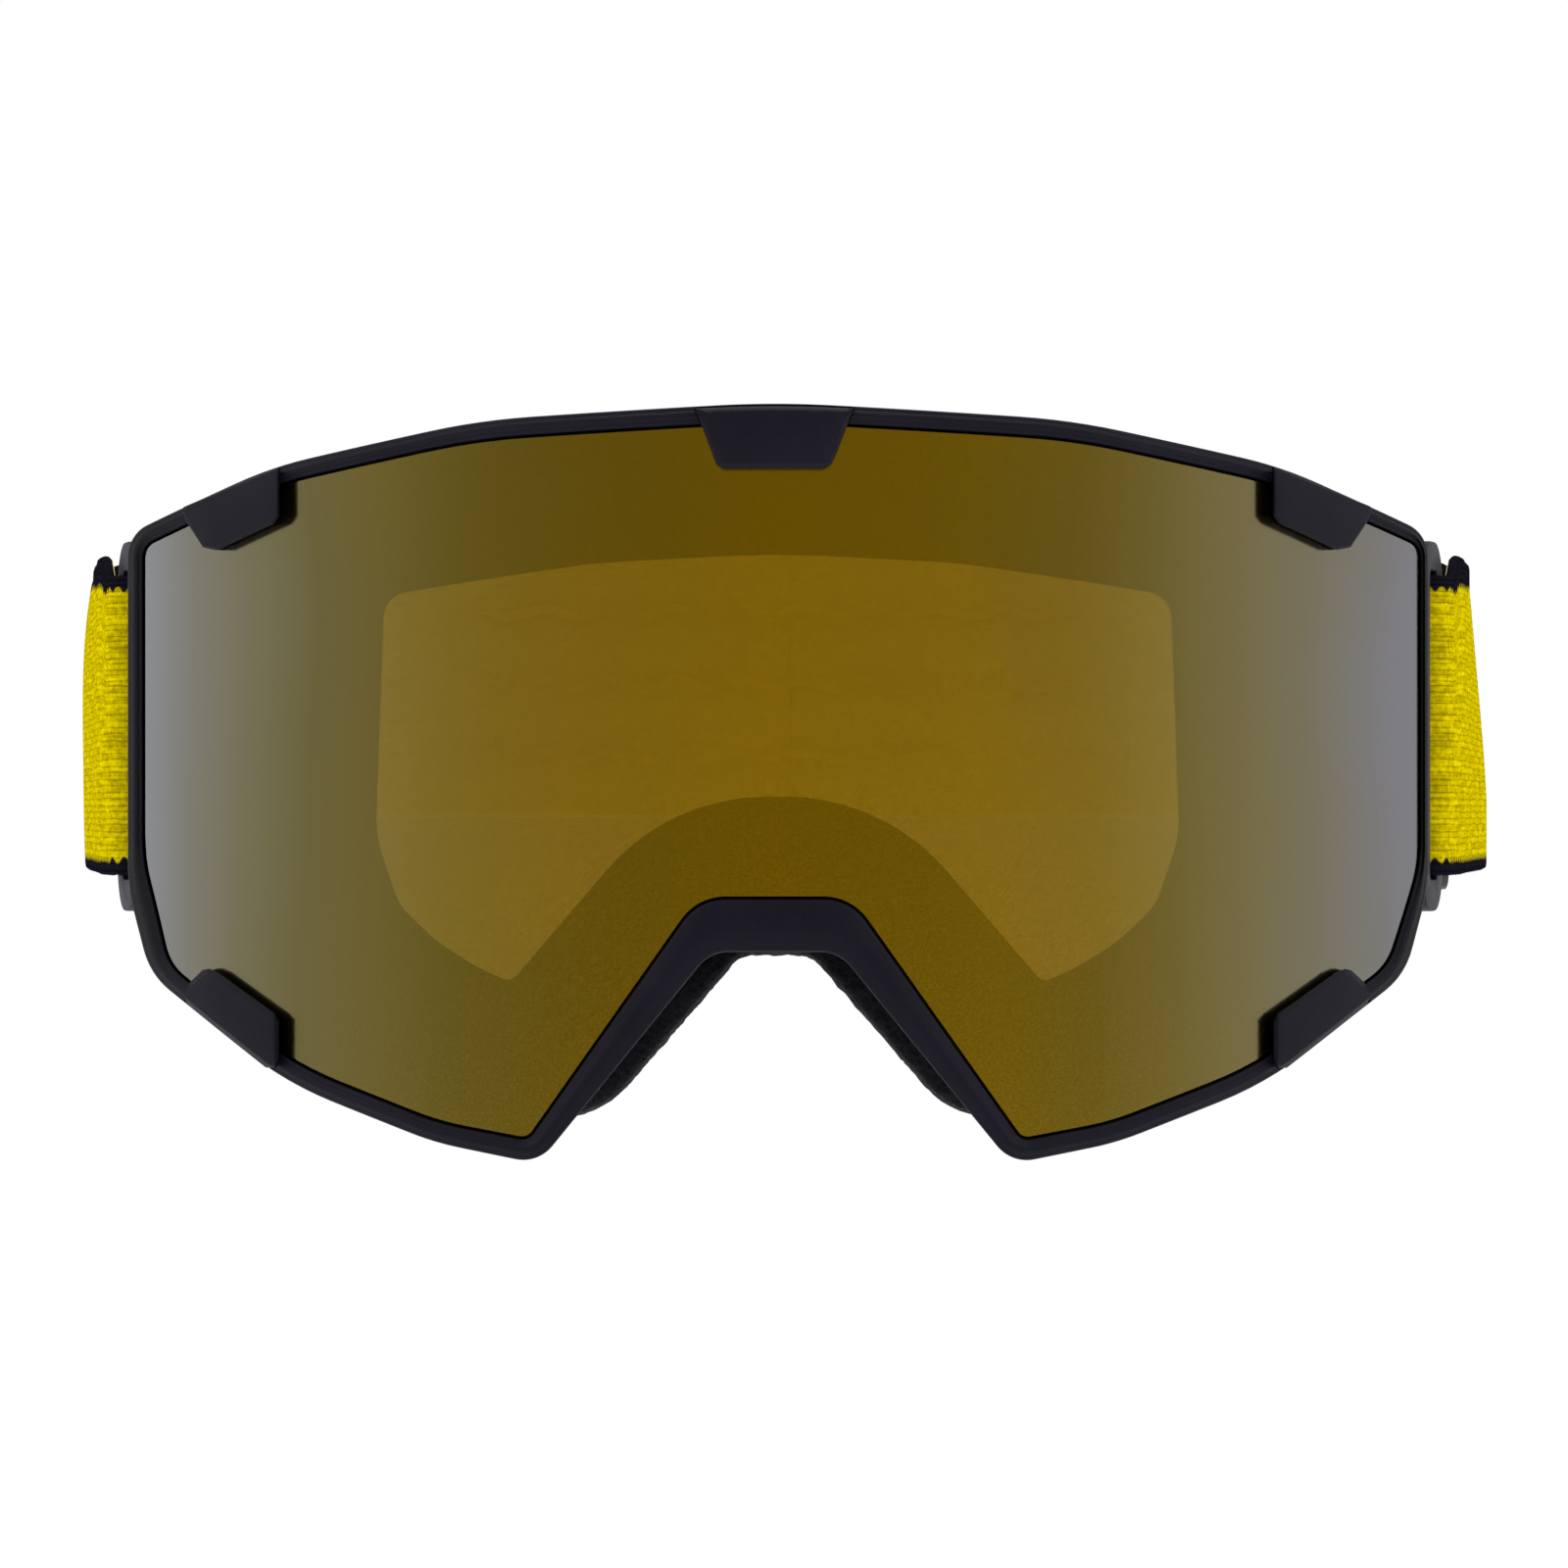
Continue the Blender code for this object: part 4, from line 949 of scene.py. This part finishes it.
# ---- strap
def rounded_path(corners):
    """Open path of x, y points through corners (x, y, radius), about PATH_PITCH apart."""
    points = [Vector(c[:2]) for c in corners]
    path = [points[0]]

    def run_to(end):
        start = path[-1]
        steps = max(1, round((end - start).length / PATH_PITCH))
        path.extend(start.lerp(end, k / steps) for k in range(1, steps + 1))

    for i in range(1, len(points) - 1):
        arc = corner_arc(*points[i - 1:i + 2], corners[i][2])
        run_to(arc[0])
        path += arc[1:]
    run_to(points[-1])
    return path


def rise(y):
    return STRAP_RISE * smooth(y, CORNER[1] - RISE_LENGTH, CORNER[1])


def outer_ply(distance, inward=0):
    """Point on the first straight stretch of the outer ply, right side."""
    start = Vector(outrigger_place(1)(STRAP_START, STRAP_SPREAD, 0)[:2])
    along = (Vector(BULGE[:2]) - start).normalized()
    return start + along * distance + Vector((-along.y, along.x)) * inward


def lean_in(side, level):
    """How far the side of the strap leans inwards, at a level from -1 to 1 across it."""
    if side < 0:
        return 1.5 * max(0, level) ** 3 + 0.4 * max(0, -level) ** 3 - 0.7
    return 2.8 * max(0, (level + 0.55) / 1.55) ** 1.2 - 0.5


def gather_at(place, turn):
    """Share of the strap's narrowing in the slot, on its way in and on its way out."""
    return smooth(turn - place, 8.5, 5) if place < turn else smooth(place - turn, 11, 6.5)


def strap_ribbon(name, path, side, thick, border, turn=NO_TURN, face=1):
    """Band along a right-hand path, mirrored to its side, with soft rolled edges.

    turn is the place along the path that passes through the slot, border gives the upper
    border's width at a place, and face tells which side of the band has the yellow yarn on it.
    """
    half, edge = STRAP_HALF, STRAP_EDGE
    across = [((half - edge) * (2 * k / STRAP_ROWS - 1), thick / 2) for k in range(STRAP_ROWS + 1)]
    angles = [radians(d) for d in (30, 60, 90, 120, 150)]
    lip = [(half - edge + edge * sin(a), thick / 2 * cos(a)) for a in angles]
    section = across + lip + [(v, -t) for v, t in across[::-1]] + [(-v, -t) for v, t in lip]
    verts, cloth = [], []
    place = 0
    for i, p in enumerate(path):
        before, after = path[max(i - 1, 0)], path[min(i + 1, len(path) - 1)]
        place += (p - before).length
        along = (after - before).normalized()
        out = Vector((along.y, -along.x))
        outward = copysign(1, along.y + 0.5)
        lean = smooth(p.y, *LEAN_START) * smooth(p.y, *LEAN_END)
        wave = FLUTTER * smooth(p.x, *FLUTTER_START)
        yarn_from = thick * (0.25 if p.y > REAR_START else -0.3)
        upper = 1 - gather_at(place, turn) * (SLOT_PINCH + 0.1) / half
        for v, t in section:
            flutter = wave * noise.noise(Vector(((p.y - p.x) / 17, v / 26, 3 * side)))
            scallop = SCALLOP * cos(2 * pi * place / BORDER_WAVE) if abs(v) > half - edge else 0
            q = p + out * (t + outward * (flutter - lean * lean_in(side, v / half)))
            z = STRAP_Z + rise(p.y) + v * (upper if v > 0 else 1) + copysign(scallop, v)
            verts.append((side * q.x, q.y, z))
            outside = face * t > yarn_from or place < turn
            cloth += [place, v, border(place) if outside else -1]
    piece = add_piece(name, verts, tube_faces(len(section), len(path)), 180)
    piece.data.materials.append(MATERIALS["knit"])
    piece.data.attributes.new("cloth", "FLOAT_VECTOR", "POINT").data.foreach_set("vector", cloth)
    return piece, place


def strap_half(side, label):
    """Half of the strap: inner ply, the turn round the outrigger's bar, outer ply, rear."""
    place = outrigger_place(1)
    turn_at = SLOT_END + BAR_GAP - STRAP_SPREAD
    ply = STRAP_THICK + PLY_GAP
    bend = STRAP_SPREAD - 0.01
    turns = [(STRAP_START - 2, -STRAP_SPREAD, 40), (turn_at, -STRAP_SPREAD, bend),
             (turn_at, STRAP_SPREAD, bend), (STRAP_START, STRAP_SPREAD, 60)]
    corners = [(*outer_ply(INNER_PLY_END, ply), 0), (*outer_ply(PLY_MERGE, ply), 90)]
    corners += [(*place(u, v, 0)[:2], radius) for u, v, radius in turns]
    corners += [BULGE, CORNER, (0, CORNER[1], 0)]
    path = rounded_path(corners)
    foremost = min(range(len(path)), key=lambda i: path[i].y)
    turn = sum((b - a).length for a, b in zip(path[:foremost], path[1:]))

    def border(travelled):
        beyond = travelled - turn
        if beyond < 0:
            return LOWER_BORDER + 1.8 * smooth(beyond, -45, -20)
        return LOWER_BORDER + 0.2 + 2 * smooth(beyond, 4, 11) * smooth(beyond, 75, 18)

    piece, length = strap_ribbon("strap_" + label, path, side, STRAP_THICK, border, turn)
    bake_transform(piece)
    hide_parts("strap_loop_" + label, "strap_return_" + label, "strap_band")


def slider_place():
    """Map (along, outward, height) from an adjuster's middle, on the straight stretch, to x, y, z."""
    bulge = Vector(BULGE[:2])
    along = (Vector(CORNER[:2]) - bulge).normalized()
    before = (bulge - outer_ply(0)).normalized()
    centre = bulge + along * (BULGE[2] * tan(before.angle(along) / 2) + SLIDER_AT)

    def place(w, v, h, side=1):
        x = centre.x + along.x * w + along.y * v
        y = centre.y + along.y * w - along.x * v
        return (side * x, y, STRAP_Z + h)
    return place


def strap_tail(side, label):
    """Inner ply from the half strap to the adjuster's middle bar, and back to its sewn end."""
    place = slider_place()
    face = STRAP_THICK / 2 + FACE_GAP
    near = -(face + TAIL_THICK / 2)
    bar_in = -(face + TAIL_THICK + BAR_GAP + SLIDER_THICK)
    far = bar_in - 0.1 - TAIL_THICK / 2
    turn_at = SLIDER_BAR / 2 + BAR_GAP + TAIL_THICK / 2
    bend = (near - far) / 2 - 0.01
    sewn = -face - 1.5 * TAIL_THICK - 0.05
    ply = STRAP_THICK + PLY_GAP
    bulge_in = Vector(BULGE[:2]) + (outer_ply(0, ply) - outer_ply(0)) * 0.99
    corners = [(*outer_ply(INNER_PLY_END, ply), 0), (*bulge_in, BULGE[2] - ply)]
    turns = [(8 - SLIDER_AT, near, 60), (turn_at, near, bend), (turn_at, far, bend), (-3.5, far, 5),
             (-9.5, sewn, 5), (-SLIDER_HALF - TAIL_LENGTH, sewn, 0)]
    corners += [(*place(w, v, 0)[:2], radius) for w, v, radius in turns]
    piece, length = strap_ribbon("strap_tail_cloth_" + label, rounded_path(corners), side, TAIL_THICK,
                                 lambda place: LOWER_BORDER, face=-1)
    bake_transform(piece)
    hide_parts("strap_tail_" + label)


def stitch_rows(side, label):
    """Thread stitches that hold the tail's folded end, in two rows across the strap."""
    place = slider_place()
    surface = -STRAP_THICK / 2 - FACE_GAP - 2 * TAIL_THICK - 0.1
    margin, slant, reach = 2.2, 0.55, 1.15
    count, rings, sides = 17, 7, 8
    verts, faces = [], []
    for row in STITCHED:
        for k in range(count):
            middle = -STRAP_HALF + margin + 2 * (STRAP_HALF - margin) * k / (count - 1)
            lean = slant if k % 2 else -slant
            faces += tube_faces(sides, rings, len(verts))
            for step in range(rings):
                along = -1 + 2 * step / (rings - 1)
                thick = 0.26 * sqrt(1 - along * along) + 0.05
                for turn in range(sides):
                    angle = 2 * pi * turn / sides
                    w = row + lean * along + thick * cos(angle)
                    v = surface + 0.7 * thick * sin(angle)
                    verts.append(place(w, v, middle + reach * along, side))
    piece = add_piece("tail_stitches_" + label, verts, faces, 60)
    piece.data.materials.append(MATERIALS["thread"])
    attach(piece, "adjuster_" + label)


def grips():
    """Silicone lines on the inside of the strap's rear, in long low waves."""
    inside = CORNER[1] - STRAP_THICK / 2 - GRIP_GAP * 0.2 - 0.35 * GRIP_THICK
    ring, count = 12, 150
    for row, label in ((-1, "lower"), (0, "middle"), (1, "upper")):
        level = STRAP_Z + STRAP_RISE + row * GRIP_PITCH
        verts = []
        for i in range(count + 1):
            x = -GRIP_HALF_LENGTH + 2 * GRIP_HALF_LENGTH * i / count
            z = level + 0.75 * sin(2 * pi * x / 11)
            end = min(1, sqrt(min(i, count - i) / 2 + 0.02))
            for angle in (2 * pi * k / ring for k in range(ring)):
                verts.append((x, inside + 0.55 * GRIP_THICK * end * sin(angle),
                              z + 0.26 * GRIP_WIDTH * end * cos(angle)))
        piece = add_piece("grip_line_" + label, verts, tube_faces(ring, count + 1), 60)
        hand_over(piece, "silicone", "goggle", "grip", "grip_strip_" + label)


def slider(side, label):
    """Three-bar adjuster: two rails and three bars with rounded edges."""
    centre_place = slider_place()

    def place(w, v, h):
        return centre_place(w, v, h, side)

    def lay(a, b, h):
        return place(a, h, b)

    face = STRAP_THICK / 2 + FACE_GAP
    bar_out = -(face + TAIL_THICK + BAR_GAP)
    bar_in = bar_out - SLIDER_THICK
    rail = STRAP_HALF + SLIDER_SPARE
    tall = rail + RAIL_WIDTH
    top = face + SLIDER_THICK
    gap = SLIDER_HALF - BAR_GAP - SLIDER_BAR
    ring = rounded_rectangle((-SLIDER_HALF, -tall), (SLIDER_HALF, tall), 2.2, 6)
    window = rounded_rectangle((-gap, -rail), (gap, rail), 0.8, 4)
    buckle = prism("slider_buckle_" + label, ring, face, top, lay)
    join_or_cut(buckle, [prism("window", window, face - 5, top + 5, lay)], "DIFFERENCE")
    for sign in (-1, 1):
        low, high = sorted((sign * rail, sign * (tall - 0.15)))
        post = prism("post", rounded_rectangle((-POST_HALF, low), (POST_HALF, high), 0.6, 3),
                     bar_in, face + 0.5, lay)
        join_or_cut(buckle, [post], "UNION")
    middle = rounded_rectangle((-SLIDER_BAR / 2, bar_in + 0.2), (SLIDER_BAR / 2, bar_out), 0.7, 5)
    join_or_cut(buckle, [prism("middle_bar", middle, 1 - tall, tall - 1, place)], "UNION")
    clean(buckle)
    bevel(buckle, 0.4)
    hand_over(buckle, "slider", "adjuster_" + label, "slider", "slider_" + label)


# ---- studio
def sky(world):
    """Even white light, weaker from the front, with a pure white background for the camera."""
    world.use_nodes = True
    nodes = Nodes(world.node_tree)
    forward = nodes.split(nodes.read(nodes.node("TexCoord"), "Generated"))[1]
    glow = nodes.span(forward, *WORLD_TURN, WORLD_FRONT, WORLD_SIDE, "SMOOTHSTEP")
    seen = nodes.read(nodes.node("LightPath"), "Is Camera Ray")
    strength = nodes.math("MAXIMUM", glow, seen)
    nodes.feed_all(nodes.tree.nodes["Background"], {"Strength": strength, "Color": WHITE})


def studio():
    """Pale floor, soft light from the sides and above, and the camera in front."""
    scene = bpy.context.scene
    scene.view_settings.view_transform = "Standard"
    scene.world = bpy.data.worlds.new("studio")
    sky(scene.world)

    def stand(name, data, place, rotation):
        made = bpy.data.objects.new(name, data)
        made.location, made.rotation_euler = place, rotation
        scene.collection.objects.link(made)
        return made

    bpy.ops.mesh.primitive_circle_add(vertices=96, radius=FLOOR_RADIUS, fill_type="NGON",
                                      location=(0, 0, FLOOR_Z))
    floor = bpy.context.object
    floor.name = "studio_floor"
    paint = Paint("floor_white", 0.9, specular=0)
    paint.set("Base Color", (0.8, 0.8, 0.8, 1))
    paint.set("Emission Color", WHITE)
    paint.set("Emission Strength", 0.45)
    floor.data.materials.append(paint.material)

    for name, place, aim, size, power in LIGHTS:
        data = bpy.data.lights.new(name, "AREA")
        data.shape = "RECTANGLE"
        data.size, data.size_y = size
        data.energy = power
        stand(name, data, place, (Vector(aim) - Vector(place)).to_track_quat("-Z", "Y").to_euler())

    data = bpy.data.cameras.new("camera")
    data.sensor_width = 36
    data.lens = data.sensor_width * VIEW_DISTANCE / VIEW_WIDTH
    data.shift_x, data.shift_y = VIEW_SHIFT
    place = (VIEW_DISTANCE * sin(VIEW_TURN), -VIEW_DISTANCE * cos(VIEW_TURN), VIEW_Z)
    scene.camera = stand("camera", data, place, (radians(90), 0, VIEW_TURN))


WORLD_TURN, WORLD_FRONT, WORLD_SIDE = (-0.97, -0.2), 0.36, 0.95
FLOOR_Z, FLOOR_RADIUS = -0.3, 2.4
VIEW_DISTANCE, VIEW_WIDTH, VIEW_Z = 0.9, 0.2108, -0.004
VIEW_SHIFT, VIEW_TURN = (0.0041, 0.0187), radians(0.5)
LIGHTS = [
    ("key_left", (-1.3, -0.5, 0.9), (0, 0, 0), (0.9, 0.9), 9),
    ("key_right", (1.3, -0.5, 0.9), (0, 0, 0), (0.9, 0.9), 9),
    ("top", (0, 0.3, 1.6), (0, 0.1, 0), (1.2, 1.2), 10),
]


def main():
    studio()
    lens_stack()
    frame_parts()
    face_foam()
    grips()
    for side, label in SIDES:
        outrigger(side, label)
        hinge(side, label)
        slider(side, label)
        stitch_rows(side, label)
        strap_half(side, label)
        strap_tail(side, label)


main()
